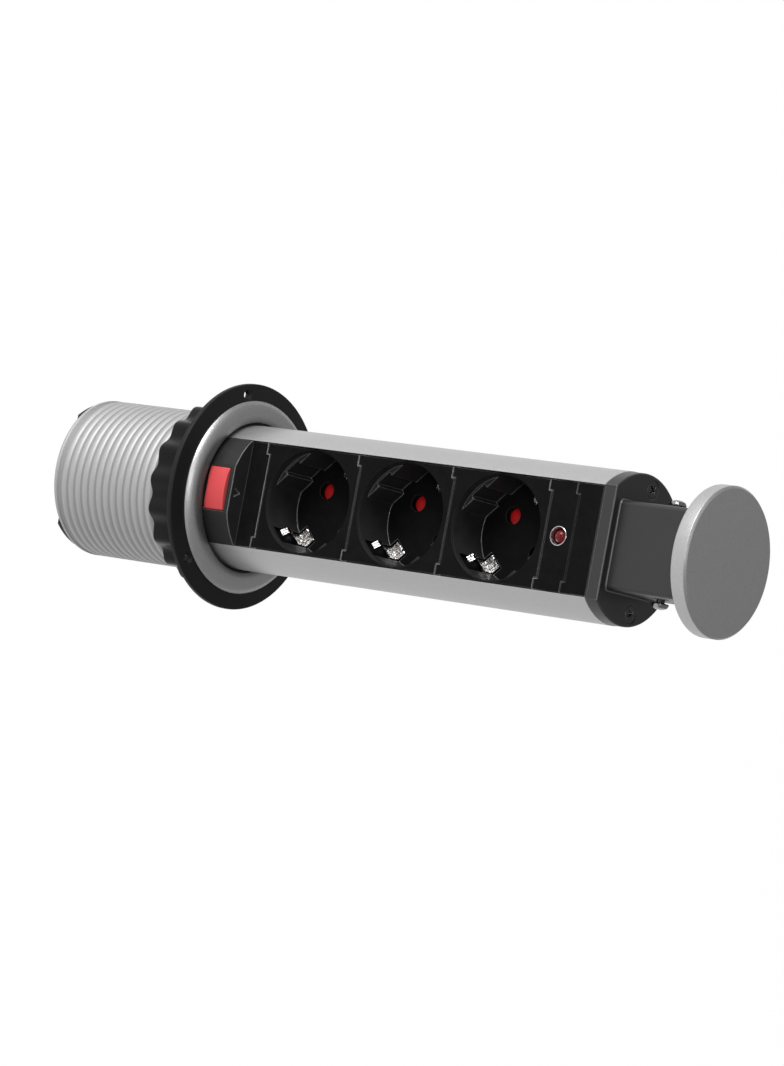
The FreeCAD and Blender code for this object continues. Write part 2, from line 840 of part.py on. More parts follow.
def all_pieces():
    """Every piece of the tower under its own name."""
    pieces = {
        "barrel": barrel(),
        "flange": flange(),
        "trim_ring": trim_ring(),
        "ring_nut": ring_nut(),
        "column_profile": column_profile(),
        "latch_block": latch_block(),
        "latch_button": latch_button(),
        "latch_spring": latch_spring(),
        "lower_cover": lower_cover(),
        "lamp_module": lamp_module(),
        "lamp_bezel": lamp_bezel(),
        "lamp_lens": lamp_lens(),
        "blank_module": blank_module(),
        "end_block": end_block(),
        "end_screws": screw_pair(neck_bottom, -1),
        "neck": neck(),
        "neck_pin_left": neck_pin(-1),
        "neck_pin_right": neck_pin(1),
        "cap_bolts": cap_bolts(),
        "cap": cap(),
        "foot": foot(),
        "foot_screws": screw_pair(foot_bottom, 1),
        "cord_bush": cord_bush(),
        "cord_clamp": cord_clamp(),
        "clamp_screws": clamp_screws(),
    }
    for index in range(socket_count):
        number = index + 1
        pieces[f"socket_body_{number}"] = socket_body(index)
        pieces[f"socket_back_{number}"] = socket_back(index)
        pieces[f"live_contact_{number}"] = pin_contact(index, 1)
        pieces[f"neutral_contact_{number}"] = pin_contact(index, -1)
        pieces[f"earth_contact_{number}"] = earth_contact(index)
        pieces[f"shutter_{number}"] = shutter(index)
        pieces[f"shutter_spring_{number}"] = shutter_spring(index)
    return pieces


os.makedirs("parts", exist_ok=True)
for name, piece in all_pieces().items():
    piece.exportStep(f"parts/{name}.step")
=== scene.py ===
import logging
import math
from dataclasses import dataclass, replace
from enum import Enum
from functools import cache
from typing import Callable, Sequence

import bmesh
import bpy
from mathutils import Matrix, Vector


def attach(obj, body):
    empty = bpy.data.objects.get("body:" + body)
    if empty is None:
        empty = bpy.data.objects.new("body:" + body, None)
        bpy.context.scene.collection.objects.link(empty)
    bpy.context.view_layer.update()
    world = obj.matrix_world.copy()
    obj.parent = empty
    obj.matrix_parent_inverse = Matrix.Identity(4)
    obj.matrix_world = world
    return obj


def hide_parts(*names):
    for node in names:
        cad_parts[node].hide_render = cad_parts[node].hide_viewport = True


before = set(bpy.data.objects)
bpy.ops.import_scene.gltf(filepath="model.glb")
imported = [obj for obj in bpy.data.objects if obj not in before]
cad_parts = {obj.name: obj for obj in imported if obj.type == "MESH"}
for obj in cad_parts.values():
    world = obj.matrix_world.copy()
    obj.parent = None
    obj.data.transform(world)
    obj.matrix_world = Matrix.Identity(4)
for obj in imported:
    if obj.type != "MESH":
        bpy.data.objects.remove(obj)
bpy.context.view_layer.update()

log = logging.getLogger("socket_tower")

Pair = tuple[float, float]
Point = tuple[float, float, float]
Colour = tuple[float, float, float]
Profile = list[Pair]
Corners = Sequence[tuple[float, float, float]]
Inputs = dict[str | int, object]
Mesh = bmesh.types.BMesh
Piece = bpy.types.Object
Node = bpy.types.Node
Socket = bpy.types.NodeSocket
Tree = bpy.types.NodeTree

MM = 0.001
TURN = 2 * math.pi
# Name of the stored strength of the painted edge highlight at each vertex
EDGE_GAIN = "edge_gain"

# Distances in metres under which points of a new mesh and of a CAD node's mesh are merged
NEW_MERGE = 1e-7
CAD_MERGE = 2e-6
# Bends in degrees: inside one flat face of a CAD node, at its hard edges, and at a new mesh's sharp edges
FLAT_BEND = 0.4
HARD_BEND = 30.0
SHARP_BEND = 32.0
# Largest share of a run that a rounded corner takes
CORNER_SHARE = 0.49
# Distance in mm within which a point is taken to lie on a face
NEAR = 0.3
WHITE = (1.0, 1.0, 1.0, 1.0)


class Body(Enum):
    """Names of the bodies that pieces ride on."""

    COLLAR = "collar"
    COLUMN = "column"
    NUT = "nut"
    BUTTON = "button"


class Lighting(Enum):
    """Names of the studio's lamps."""

    KEY = "key"
    FILL = "fill"
    FRONT = "front"


# Mesh helpers


def arc_through(start: Pair, middle: Pair, end: Pair, steps: int) -> Profile:
    """Points of the circular arc through three points.

    Args:
        start: First point.
        middle: A point on the way.
        end: Last point.
        steps: Number of runs along the arc.

    Returns:
        The points from start to end.
    """
    (ax, ay), (bx, by), (cx, cy) = start, middle, end
    d = 2 * (ax * (by - cy) + bx * (cy - ay) + cx * (ay - by))
    a2, b2, c2 = ax * ax + ay * ay, bx * bx + by * by, cx * cx + cy * cy
    ux = (a2 * (by - cy) + b2 * (cy - ay) + c2 * (ay - by)) / d
    uy = (a2 * (cx - bx) + b2 * (ax - cx) + c2 * (bx - ax)) / d
    radius = math.hypot(ax - ux, ay - uy)
    first, mid, last = (math.atan2(y - uy, x - ux) for x, y in (start, middle, end))
    sweep = (last - first) % TURN
    if (mid - first) % TURN > sweep:
        sweep -= TURN
    return [(ux + radius * math.cos(first + sweep * i / steps),
             uy + radius * math.sin(first + sweep * i / steps)) for i in range(steps + 1)]


def rounded(corners: Corners, steps: int = 3) -> Profile:
    """A polyline whose corners are rounded.

    Args:
        corners: Points (x, y, radius), where a radius of 0 keeps the corner sharp.
        steps: Number of runs round each corner.

    Returns:
        The points of the rounded line.
    """
    line: Profile = []
    for index, (x, y, radius) in enumerate(corners):
        if radius == 0 or index in (0, len(corners) - 1):
            line.append((x, y))
            continue
        here = Vector((x, y))
        before = Vector(corners[index - 1][:2]) - here
        after = Vector(corners[index + 1][:2]) - here
        half = before.angle(after) / 2
        reach = min(radius / math.tan(half), before.length * CORNER_SHARE, after.length * CORNER_SHARE)
        start = here + before.normalized() * reach
        end = here + after.normalized() * reach
        for step in range(steps + 1):
            t = step / steps
            point = start * (1 - t) ** 2 + here * 2 * t * (1 - t) + end * t ** 2
            line.append((point.x, point.y))
    return line


def turned(bm: Mesh, profile: Profile, segments: int, closed: bool = False) -> None:
    """Add a surface turned about Z.

    Args:
        bm: Mesh to add to.
        profile: Points (radius, height) in mm, from the lower axis end round the outside.
        segments: Steps round the axis.
        closed: Whether the last point joins the first, as on a ring.
    """
    rings = []
    for radius, height in profile:
        if radius == 0:
            rings.append([bm.verts.new((0, 0, height * MM))])
            continue
        rings.append([bm.verts.new((radius * MM * math.cos(TURN * i / segments),
                                    radius * MM * math.sin(TURN * i / segments),
                                    height * MM)) for i in range(segments)])
    pairs = list(zip(rings, rings[1:]))
    if closed:
        pairs.append((rings[-1], rings[0]))
    for lower, upper in pairs:
        for i in range(segments):
            j = (i + 1) % segments
            below = [lower[k % len(lower)] for k in (i, j)]
            above = [upper[k % len(upper)] for k in (j, i)]
            distinct = list(dict.fromkeys(below + above))
            if len(distinct) > 2:
                bm.faces.new(distinct)


def moved(bm: Mesh, angle: float, axis: str, shift: Point) -> None:
    """Turn a mesh about an axis through the origin, then shift it.

    Args:
        bm: The mesh.
        angle: Angle in radians.
        axis: Name of the axis.
        shift: Shift in mm.
    """
    matrix = Matrix.Translation([distance * MM for distance in shift]) @ Matrix.Rotation(angle, 4, axis)
    bmesh.ops.transform(bm, matrix=matrix, verts=bm.verts)


def finished_mesh(name: str, bm: Mesh, sharp_above: float = SHARP_BEND) -> Piece:
    """Turn a working mesh into a linked object with outward faces and smooth shading.

    Args:
        name: Name of the object.
        bm: Working mesh, which is freed.
        sharp_above: Edges that bend more than this many degrees stay sharp.

    Returns:
        The new object at the origin.
    """
    bmesh.ops.remove_doubles(bm, verts=bm.verts, dist=NEW_MERGE)
    bmesh.ops.recalc_face_normals(bm, faces=bm.faces)
    mesh = bpy.data.meshes.new(name)
    bm.to_mesh(mesh)
    bm.free()
    mesh.shade_smooth()
    mesh.set_sharp_from_angle(angle=math.radians(sharp_above))
    piece = bpy.data.objects.new(name, mesh)
    bpy.context.scene.collection.objects.link(piece)
    return piece


def inner_edges(bm: Mesh) -> list[bmesh.types.BMEdge]:
    """Edges inside the flat faces that have no hole, where an edge marked as a seam ends a face.

    Args:
        bm: Mesh to look at.

    Returns:
        The edges that can be dissolved.
    """
    flat = math.radians(FLAT_BEND)
    found: list[bmesh.types.BMEdge] = []
    seen: set[bmesh.types.BMFace] = set()
    for start in bm.faces:
        if start in seen:
            continue
        group, waiting = {start}, [start]
        while waiting:
            for edge in waiting.pop().edges:
                if len(edge.link_faces) == 2 and not edge.seam and edge.calc_face_angle(math.pi) < flat:
                    fresh = [other for other in edge.link_faces if other not in group]
                    group.update(fresh)
                    waiting += fresh
        seen |= group
        edges = {edge for face in group for edge in face.edges}
        corners = {vertex for face in group for vertex in face.verts}
        if len(corners) - len(edges) + len(group) == 1:
            found += [edge for edge in edges
                      if not edge.seam and all(face in group for face in edge.link_faces)]
    return found


def softened(node: str, name: str, width: float, cut: float | None = None) -> Piece:
    """Copy a CAD node with its hard edges rounded.

    Args:
        node: CAD node to copy.
        name: Name of the new piece.
        width: Width of the rounding in mm.
        cut: Height in mm at which faces are split, through the middle of a hole.

    Returns:
        The new object, which still has to ride on a body.
    """
    bm = bmesh.new()
    bm.from_mesh(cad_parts[node].data)
    bmesh.ops.remove_doubles(bm, verts=bm.verts, dist=CAD_MERGE)
    if cut is not None:
        every = bm.verts[:] + bm.edges[:] + bm.faces[:]
        split = bmesh.ops.bisect_plane(bm, geom=every, plane_co=(0, 0, cut * MM), plane_no=(0, 0, 1))
        for item in split["geom_cut"]:
            if isinstance(item, bmesh.types.BMEdge):
                item.seam = True
    bmesh.ops.dissolve_edges(bm, edges=inner_edges(bm), use_verts=False)
    piece = finished_mesh(name, bm, sharp_above=HARD_BEND)
    bevel = piece.modifiers.new("Rounded edges", "BEVEL")
    bevel.width = width * MM
    bevel.segments = 3
    bevel.limit_method = "ANGLE"
    bevel.angle_limit = math.radians(HARD_BEND)
    bevel.use_clamp_overlap = False
    bevel.loop_slide = False
    bevel.miter_outer = "MITER_ARC"
    piece.modifiers.new("Flat faces kept flat", "WEIGHTED_NORMAL").keep_sharp = True
    return piece


def place(piece: Piece, finish: "Finish", body: Body, *nodes: str) -> None:
    """Dress a piece, let it ride on its body and let it stand for CAD nodes.

    Args:
        piece: The finished object.
        finish: Its surface finish.
        body: Body that it rides on.
        nodes: CAD nodes that it stands for.
    """
    piece.data.materials.clear()
    piece.data.materials.append(finish.material())
    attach(piece, body.value)
    if nodes:
        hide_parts(*nodes)
    log.info("piece %s on body %s with finish %s", piece.name, body.value, finish.title)


def dress_faces(piece: Piece, finish: "Finish", chosen: Callable[[float, float, float], bool]) -> None:
    """Give some faces of a dressed piece a second finish.

    Args:
        piece: The dressed piece.
        finish: Finish of the chosen faces.
        chosen: Tells from the middle of a face in mm whether it is one of them.
    """
    piece.data.materials.append(finish.material())
    for face in piece.data.polygons:
        if chosen(*(axis / MM for axis in face.center)):
            face.material_index = len(piece.data.materials) - 1


def mark_edges(piece: Piece, rule: Callable[[float, float, float], float]) -> None:
    """Store how strong the painted highlight on the edges at each vertex is.

    Args:
        piece: Object to mark.
        rule: Turns a vertex's place in mm into a strength from 0 to 1.
    """
    marks = piece.data.attributes.new(EDGE_GAIN, "FLOAT", "POINT")
    for vertex, entry in zip(piece.data.vertices, marks.data):
        entry.value = rule(*(axis / MM for axis in vertex.co))


def dress_nodes(finish: "Finish", *nodes: str) -> None:
    """Give CAD nodes that stay in view their material.

    Args:
        finish: Their surface finish.
        nodes: The CAD nodes.
    """
    for node in nodes:
        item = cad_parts[node]
        if not item.material_slots:
            item.data.materials.append(None)
        for slot in item.material_slots:
            slot.material = finish.material()
        log.info("node %s kept with finish %s", node, finish.title)


# Node helpers


def fill(tree: Tree, node: Node, inputs: Inputs) -> Node:
    """Link or set some inputs of a node.

    Args:
        tree: Tree of the node.
        node: The node.
        inputs: A value, a socket or a node for each input, where a node stands for its first output.

    Returns:
        The same node.
    """
    for key, value in inputs.items():
        source = value.outputs[0] if isinstance(value, Node) else value
        if isinstance(source, Socket):
            tree.links.new(source, node.inputs[key])
        else:
            node.inputs[key].default_value = source
    return node


def added(tree: Tree, kind: str, inputs: Inputs | None = None, **settings: object) -> Node:
    """Add a node to a tree.

    Args:
        tree: The tree.
        kind: Type of the node.
        inputs: Its inputs, as fill takes them.
        settings: Its other settings.

    Returns:
        The new node.
    """
    node = tree.nodes.new(kind)
    for name, value in settings.items():
        setattr(node, name, value)
    return fill(tree, node, inputs or {})


def maths(tree: Tree, operation: str, *values: object, clamp: bool = False) -> Socket:
    """Add a math node to a tree.

    Args:
        tree: The tree.
        operation: Operation of the node.
        values: Its inputs in order, as fill takes them.
        clamp: Whether the result is kept between 0 and 1.

    Returns:
        The node's output.
    """
    node = added(tree, "ShaderNodeMath", dict(enumerate(values)), operation=operation, use_clamp=clamp)
    return node.outputs[0]


def mixed(tree: Tree, blend: str, factor: object, first: object, second: object) -> Socket:
    """Mix two colours.

    Args:
        tree: Tree to add to.
        blend: How the second colour is laid over the first.
        factor: Strength of the mix.
        first: First colour.
        second: Second colour.

    Returns:
        The mixed colour.
    """
    inputs = {"Factor": factor, 6: first, 7: second}
    return added(tree, "ShaderNodeMix", inputs, data_type="RGBA", blend_type=blend).outputs[2]


def empty_tree(title: str, family: str, inputs: dict[str, str], outputs: dict[str, str]) -> Tree:
    """Make a node tree with named sockets.

    Args:
        title: Name of the tree.
        family: Type of the tree.
        inputs: Kind of each input.
        outputs: Kind of each output.

    Returns:
        The tree, whose input and output nodes are named In and Out.
    """
    tree = bpy.data.node_groups.new(title, family)
    for side, sockets in (("INPUT", inputs), ("OUTPUT", outputs)):
        for name, kind in sockets.items():
            tree.interface.new_socket(name=name, in_out=side, socket_type=f"NodeSocket{kind}")
    tree.nodes.new("NodeGroupInput").name = "In"
    tree.nodes.new("NodeGroupOutput").name = "Out"
    return tree


def geometry_tree(title: str, *sizes: str) -> Tree:
    """Make a geometry node tree.

    Args:
        title: Name of the tree.
        sizes: Names of its inputs beside the geometry.

    Returns:
        The tree, whose input and output nodes are named In and Out.
    """
    inputs = {"Geometry": "Geometry", **dict.fromkeys(sizes, "Float")}
    return empty_tree(title, "GeometryNodeTree", inputs, {"Geometry": "Geometry"})


def close_tree(tree: Tree, result: Node, finish: "Finish") -> Tree:
    """End a geometry node tree in Realize Instances and Set Material.

    Args:
        tree: The tree.
        result: Node whose first output is the last geometry.
        finish: Finish of the result.

    Returns:
        The same tree.
    """
    whole = added(tree, "GeometryNodeRealizeInstances", {"Geometry": result})
    dressed = added(tree, "GeometryNodeSetMaterial", {"Geometry": whole, "Material": finish.material()})
    fill(tree, tree.nodes["Out"], {"Geometry": dressed})
    return tree


def grown(name: str, base: Piece, tree: Tree, values: dict[str, float],
          sharp_above: float = SHARP_BEND) -> Piece:
    """Run a geometry node tree on a base object and keep the result as a plain mesh.

    Args:
        name: Name of the result.
        base: Object that the tree starts from, which is removed.
        tree: The geometry node tree.
        values: Values of its named inputs.
        sharp_above: Edges that bend more than this many degrees stay sharp.

    Returns:
        A new object with no modifier.
    """
    modifier = base.modifiers.new("Rule", "NODES")
    modifier.node_group = tree
    for item in tree.interface.items_tree:
        if item.item_type == "SOCKET" and item.in_out == "INPUT" and item.name in values:
            modifier[item.identifier] = values[item.name]
    bpy.context.view_layer.update()
    evaluated = base.evaluated_get(bpy.context.evaluated_depsgraph_get())
    mesh = bpy.data.meshes.new_from_object(evaluated)
    base.modifiers.remove(modifier)
    bpy.data.objects.remove(base)
    bm = bmesh.new()
    bm.from_mesh(mesh)
    bpy.data.meshes.remove(mesh)
    return finished_mesh(name, bm, sharp_above)


# Shader groups


@cache
def grain_group() -> Tree:
    """Fine surface grain as a shade round 1 and a height from 0 to 1.

    Returns:
        The shader group, made once.
    """
    sizes = dict.fromkeys(("Grain size", "Contrast", "Cloud size", "Cloud contrast"), "Float")
    tree = empty_tree("Surface grain", "ShaderNodeTree", {"Vector": "Vector", **sizes},
                      {"Shade": "Float", "Height": "Float"})
    given = tree.nodes["In"].outputs
    noises, swings = [], []
    for size, contrast, detail in (("Grain size", "Contrast", 1.0), ("Cloud size", "Cloud contrast", 2.0)):
        scale = maths(tree, "DIVIDE", 1.0, given[size])
        inputs = {"Vector": given["Vector"], "Scale": scale, "Detail": detail}
        noises.append(added(tree, "ShaderNodeTexNoise", inputs))
        offset = maths(tree, "SUBTRACT", noises[-1], 0.5)
        swings.append(maths(tree, "MULTIPLY", offset, given[contrast]))
    shade = maths(tree, "ADD", maths(tree, "ADD", *swings), 1.0)
    fill(tree, tree.nodes["Out"], {"Shade": shade, "Height": noises[0]})
    return tree


@cache
def edge_group() -> Tree:
    """Mask of the edges that take a painted highlight, and a normal that is rounded over them.

    Returns:
        The shader group, made once.
    """
    tree = empty_tree("Painted edge highlight", "ShaderNodeTree", dict.fromkeys(("Radius", "Amount", "Gain"), "Float"),
                      {"Mask": "Float", "Normal": "Vector"})
    given = tree.nodes["In"].outputs
    bevel = added(tree, "ShaderNodeBevel", {"Radius": given["Radius"]}, samples=6)
    surface = added(tree, "ShaderNodeNewGeometry").outputs["Normal"]
    product = added(tree, "ShaderNodeVectorMath", {0: bevel, 1: surface}, operation="DOT_PRODUCT")
    bend = maths(tree, "SUBTRACT", 1.0, product.outputs["Value"])
    full = maths(tree, "MULTIPLY", bend, given["Amount"], clamp=True)
    fill(tree, tree.nodes["Out"], {"Mask": maths(tree, "MULTIPLY", full, given["Gain"]), "Normal": bevel})
    return tree


# Finishes


def grey(level: float) -> Colour:
    """A neutral colour."""
    return (level, level, level)


@dataclass(frozen=True)
class Finish:
    """One surface finish, with its colour, gloss and fine texture in metres."""

    title: str
    slot: str
    colour: Colour
    roughness: float
    metallic: float = 0.0
    specular: float = 0.5
    # edge_colour and edge_metallic paint a highlight onto the rounded edges, and edge_marked scales it by a
    # stored strength per vertex
    edge_colour: Colour = grey(0.2)
    edge_radius: float = 0.00025
    edge_amount: float = 0.0
    edge_metallic: float = 0.0
    edge_marked: bool = False
    bounce: float = 1.0
    grain_size: float = 0.0005
    contrast: float = 0.1
    cloud_size: float = 0.02
    cloud_contrast: float = 0.05
    relief: float = 0.00002

    @cache
    def material(self) -> bpy.types.Material:
        """Build the material of the finish.

        Returns:
            The material, made once.
        """
        material = bpy.data.materials.new(self.title)
        material.use_nodes = True
        tree = material.node_tree
        grain = added(tree, "ShaderNodeGroup", {
            "Vector": added(tree, "ShaderNodeTexCoord").outputs["Object"],
            "Grain size": self.grain_size,
            "Contrast": self.contrast,
            "Cloud size": self.cloud_size,
            "Cloud contrast": self.cloud_contrast,
        }, node_tree=grain_group())
        shade = grain.outputs["Shade"]
        metallic: float | Socket = self.metallic
        bump = added(tree, "ShaderNodeBump", {"Distance": self.relief, "Height": grain.outputs["Height"]})
        tint = mixed(tree, "MULTIPLY", 1.0, (*self.colour, 1.0), shade)
        if self.edge_amount > 0:
            edge = added(tree, "ShaderNodeGroup", {
                "Radius": self.edge_radius, "Amount": self.edge_amount, "Gain": 1.0}, node_tree=edge_group())
            if self.edge_marked:
                marks = added(tree, "ShaderNodeAttribute", attribute_name=EDGE_GAIN)
                fill(tree, edge, {"Gain": marks.outputs["Fac"]})
            fill(tree, bump, {"Normal": edge.outputs["Normal"]})
            # Painted highlight: the edge mask lightens the colour towards the edge colour and makes the edges
            # partly metallic
            tint = mixed(tree, "MIX", edge.outputs["Mask"], tint, (*self.edge_colour, 1.0))
            if self.edge_metallic > 0:
                metallic = maths(tree, "MULTIPLY", edge.outputs["Mask"], self.edge_metallic)
        if self.bounce < 1:
            seen = added(tree, "ShaderNodeLightPath").outputs["Is Camera Ray"]
            tint = mixed(tree, "MULTIPLY", 1.0, tint, maths(tree, "MAXIMUM", seen, self.bounce))
        fill(tree, tree.nodes["Principled BSDF"], {
            "Base Color": tint,
            "Metallic": metallic,
            "Specular IOR Level": self.specular,
            "Roughness": maths(tree, "MULTIPLY", shade, self.roughness, clamp=True),
            "Normal": bump,
        })
        return material


# The pale edge colours of these finishes are painted highlights on their edges
SATIN_SILVER = Finish("Satin anodised silver", "silver_aluminium", grey(0.46), 0.43, metallic=0.85,
                      edge_colour=grey(0.85), edge_amount=1.5, grain_size=0.00045, contrast=0.35,
                      relief=0.00004)
BARREL_SILVER = replace(SATIN_SILVER, title="Dull barrel silver", roughness=0.6, metallic=0.8,
                        edge_amount=0.0, contrast=0.25)
# A darker copy of the barrel silver for the groove floors: painted shade in the thread's grooves
GROOVE_SHADE_SILVER = replace(BARREL_SILVER, title="Groove silver darkened as painted shade", colour=grey(0.33), metallic=0.85)
TRIM_SILVER = replace(SATIN_SILVER, title="Satin trim silver", colour=grey(0.48), roughness=0.42,
                      metallic=1.0, edge_amount=1.0, grain_size=0.0005, relief=0.00005)
WINDOW_BLACK = Finish("Black window plastic", "black_plastic", grey(0.007), 0.42, specular=0.02,
                      edge_colour=grey(0.85), edge_radius=0.00045, edge_amount=5.0, edge_metallic=0.9,
                      edge_marked=True, grain_size=0.0006, contrast=0.6, cloud_size=0.006, cloud_contrast=0.7)
# A lighter copy of the window black for the wells' round walls: painted light
WELL_WALL_LIGHTENED = replace(WINDOW_BLACK, title="Well wall black lightened as painted light", colour=grey(0.024), roughness=0.4,
                     specular=0.12)
# A lighter copy of the black for the latch block's round face, which catches more light than its strip:
# painted light
LATCH_LIGHTENED_BLACK = replace(WINDOW_BLACK, title="Latch black lightened as painted light", colour=grey(0.022), roughness=0.45,
                      specular=0.25, grain_size=0.0005, contrast=0.4, cloud_size=0.008, cloud_contrast=0.4)
NUT_BLACK = Finish("Satin black nut plastic", "black_plastic", grey(0.005), 0.3, specular=0.14,
                   edge_colour=grey(0.09), edge_amount=1.5, contrast=0.3)
SATIN_BLACK = Finish("Satin black plastic", "black_plastic", grey(0.011), 0.45, specular=0.18,
                     edge_amount=2.5, edge_metallic=0.4, contrast=0.3)
NECK_GREY = Finish("Charcoal neck plastic", "black_plastic", grey(0.016), 0.4, edge_colour=grey(0.5),
                   edge_radius=0.00045, edge_amount=5.0, edge_metallic=0.8, contrast=0.35,
                   cloud_contrast=0.25)
# A lighter, glossier black for the end block's upper front edge and the neck's foot fillet: a painted
# highlight line
HIGHLIGHT_BLACK = Finish("Black plastic lightened as painted highlight", "black_plastic", grey(0.07), 0.3, specular=0.8, contrast=0.3)
BUTTON_RED = Finish("Red button plastic", "red_plastic", (0.66, 0.075, 0.08), 0.34, specular=0.4,
                    edge_colour=(0.75, 0.2, 0.2), edge_amount=0.8, contrast=0.12, bounce=0.12)
SHUTTER_RED = Finish("Red shutter plastic", "shutter_plastic", (0.8, 0.012, 0.015), 0.3)
LENS_RED = Finish("Red lamp lens", "red_lens", (0.13, 0.003, 0.005), 0.16, specular=0.3)
PIN_STEEL = Finish("Turned pin steel", "bright_metal", grey(0.3), 0.16, metallic=1.0, contrast=0.3,
                   relief=0.00001)
BRIGHT_METAL = Finish("Bright plated metal", "bright_metal", grey(0.5), 0.22, metallic=1.0, contrast=0.05,
                      relief=0.000004)
SPRING_STEEL = Finish("Spring steel", "spring_steel", (0.72, 0.71, 0.7), 0.2, metallic=1.0, contrast=0.15,
                      relief=0.00001)
CLIP_STEEL = Finish("Bent clip steel", "spring_steel", (0.48, 0.47, 0.46), 0.2, metallic=1.0, contrast=0.9,
                    grain_size=0.0012, relief=0.0005)
DARK_STEEL = Finish("Blackened screw steel", "dark_steel", grey(0.06), 0.3, metallic=0.8,
                    edge_colour=grey(0.5), edge_amount=3.0)
CONTACT_BRASS = Finish("Contact brass", "contact_brass", (0.7, 0.52, 0.22), 0.3, metallic=1.0)
SOFT_RUBBER = Finish("Black rubber", "black_rubber", grey(0.02), 0.75, contrast=0.2)


# Collar


@dataclass
class Collar:
    """Flange, trim ring and threaded barrel, with sizes in mm."""

    crest_radius: float = 31.35
    lip_radius: float = 31.4
    bore_radius: float = 29.0
    barrel_bottom: float = -71.6
    barrel_top: float = 4.4
    lip_height: float = 1.4
    lip_slope: float = 0.2
    thread_pitch: float = 3.7
    thread_depth: float = 0.35
    thread_bury: float = 0.05
    thread_crest: float = 1.5
    thread_foot: float = 2.7
    thread_start: float = -69.125
    thread_turns: float = 17.2
    run_in_turns: float = 1 / 12
    thread_top: float = -1.0
    groove_slack: float = 0.04
    top_slack: float = 0.1
    trim_outer: float = 38.1
    trim_inner: float = 29.7
    trim_foot: float = 3.05
    trim_crest: float = 6.3
    trim_side: float = 0.4
    trim_ease: float = 0.1
    shoulder: Pair = (1.7, 1.0)
    crest_inset: float = 3.4
    roll: Pair = (1.2, 0.35)
    roll_drop: float = 1.2

    def build(self) -> None:
        """Build and dress the collar's three pieces."""
        barrel = self.barrel()
        place(barrel, BARREL_SILVER, Body.COLLAR, "barrel")
        place(self.trim_ring(), TRIM_SILVER, Body.COLLAR, "trim_ring")
        # The bore and the top are painted black: painted shadow in the narrow gap round the column
        dress_faces(barrel, SATIN_BLACK, self.bore_in_painted_shadow)
        # The groove floors get the darker silver, which is painted shade
        dress_faces(barrel, GROOVE_SHADE_SILVER, self.groove_floor)
        place(softened("flange", "moulded_flange", width=0.2), SATIN_BLACK, Body.COLLAR, "flange")

    def bore_in_painted_shadow(self, x: float, y: float, z: float) -> bool:
        """Whether a face belongs to the barrel's bore or to its top, which are painted black as the shadow in
        the narrow gap.
        """
        return math.hypot(x, y) < self.bore_radius + NEAR or z > self.barrel_top - self.top_slack

    def groove_floor(self, x: float, y: float, z: float) -> bool:
        """Whether a face belongs to the floor of the thread's groove."""
        return abs(math.hypot(x, y) - self.crest_radius + self.thread_depth) < self.groove_slack

    def barrel(self) -> Piece:
        """Make the tube with its plain lip and the coarse thread wound round it.

        Returns:
            The barrel.
        """
        root = self.crest_radius - self.thread_depth
        lip_top = self.barrel_bottom + self.lip_height
        bm = bmesh.new()
        turned(bm, rounded([
            (self.bore_radius, self.barrel_bottom, 0),
            (self.lip_radius, self.barrel_bottom, 0.4),
            (self.lip_radius, lip_top, 0.4),
            (root, lip_top + self.lip_slope, 0.2),
            (root, self.thread_top, 0.2),
            (self.crest_radius, self.thread_top, 0.2),
            (self.crest_radius, self.barrel_top, 0.3),
            (self.bore_radius, self.barrel_top, 0),
        ]), segments=200, closed=True)
        return grown("threaded_barrel", finished_mesh("barrel_core", bm), self.thread_tree(), {
            "Radius": (root - self.thread_bury) * MM,
            "Start": self.thread_start * MM,
            "Height": self.thread_turns * self.thread_pitch * MM,
            "Turns": self.thread_turns,
            "Run-in": self.run_in_turns,
            "Foot width": self.thread_foot * MM,
            "Crest width": self.thread_crest * MM,
            "Ridge height": (self.thread_depth + self.thread_bury) * MM,
        }, sharp_above=60)

    @staticmethod
    def thread_tree() -> Tree:
        """Sweep a ridge with sloping flanks along a helix that runs in at both ends.

        Returns:
            The tree.
        """
        tree = geometry_tree("Coarse thread", "Radius", "Start", "Height", "Turns", "Run-in", "Foot width",
                             "Crest width", "Ridge height")
        size = tree.nodes["In"].outputs
        helix = added(tree, "GeometryNodeCurveSpiral", {
            "Resolution": 120, "Rotations": size["Turns"], "Start Radius": size["Radius"],
            "End Radius": size["Radius"], "Height": size["Height"]})
        lift = added(tree, "ShaderNodeCombineXYZ", {"Z": size["Start"]})
        raised = added(tree, "GeometryNodeTransform", {
            "Geometry": helix, "Translation": lift, "Rotation": (0, 0, math.pi)})
        upright = added(tree, "GeometryNodeSetCurveNormal", {"Curve": raised}, mode="Z_UP")
        along = added(tree, "GeometryNodeSplineParameter").outputs["Factor"]
        wound = maths(tree, "MULTIPLY", along, size["Turns"])
        nearest = maths(tree, "MINIMUM", wound, maths(tree, "SUBTRACT", size["Turns"], wound))
        fade = maths(tree, "DIVIDE", nearest, size["Run-in"], clamp=True)
        fading = added(tree, "GeometryNodeSetCurveRadius", {"Curve": upright, "Radius": fade})
        ridge = added(tree, "GeometryNodeCurvePrimitiveQuadrilateral", {
            "Bottom Width": size["Foot width"], "Top Width": size["Crest width"], "Offset": 0.0,
            "Height": size["Ridge height"]}, mode="TRAPEZOID")
        half = added(tree, "ShaderNodeCombineXYZ", {"X": maths(tree, "MULTIPLY", size["Ridge height"], -0.5)})
        outward = added(tree, "GeometryNodeTransform", {
            "Geometry": ridge, "Translation": half, "Rotation": (0, 0, math.pi / 2)})
        sweep = added(tree, "GeometryNodeCurveToMesh", {
            "Curve": fading, "Profile Curve": outward, "Fill Caps": True})
        both = added(tree, "GeometryNodeJoinGeometry", {"Geometry": size["Geometry"]})
        return close_tree(tree, fill(tree, both, {"Geometry": sweep}), BARREL_SILVER)

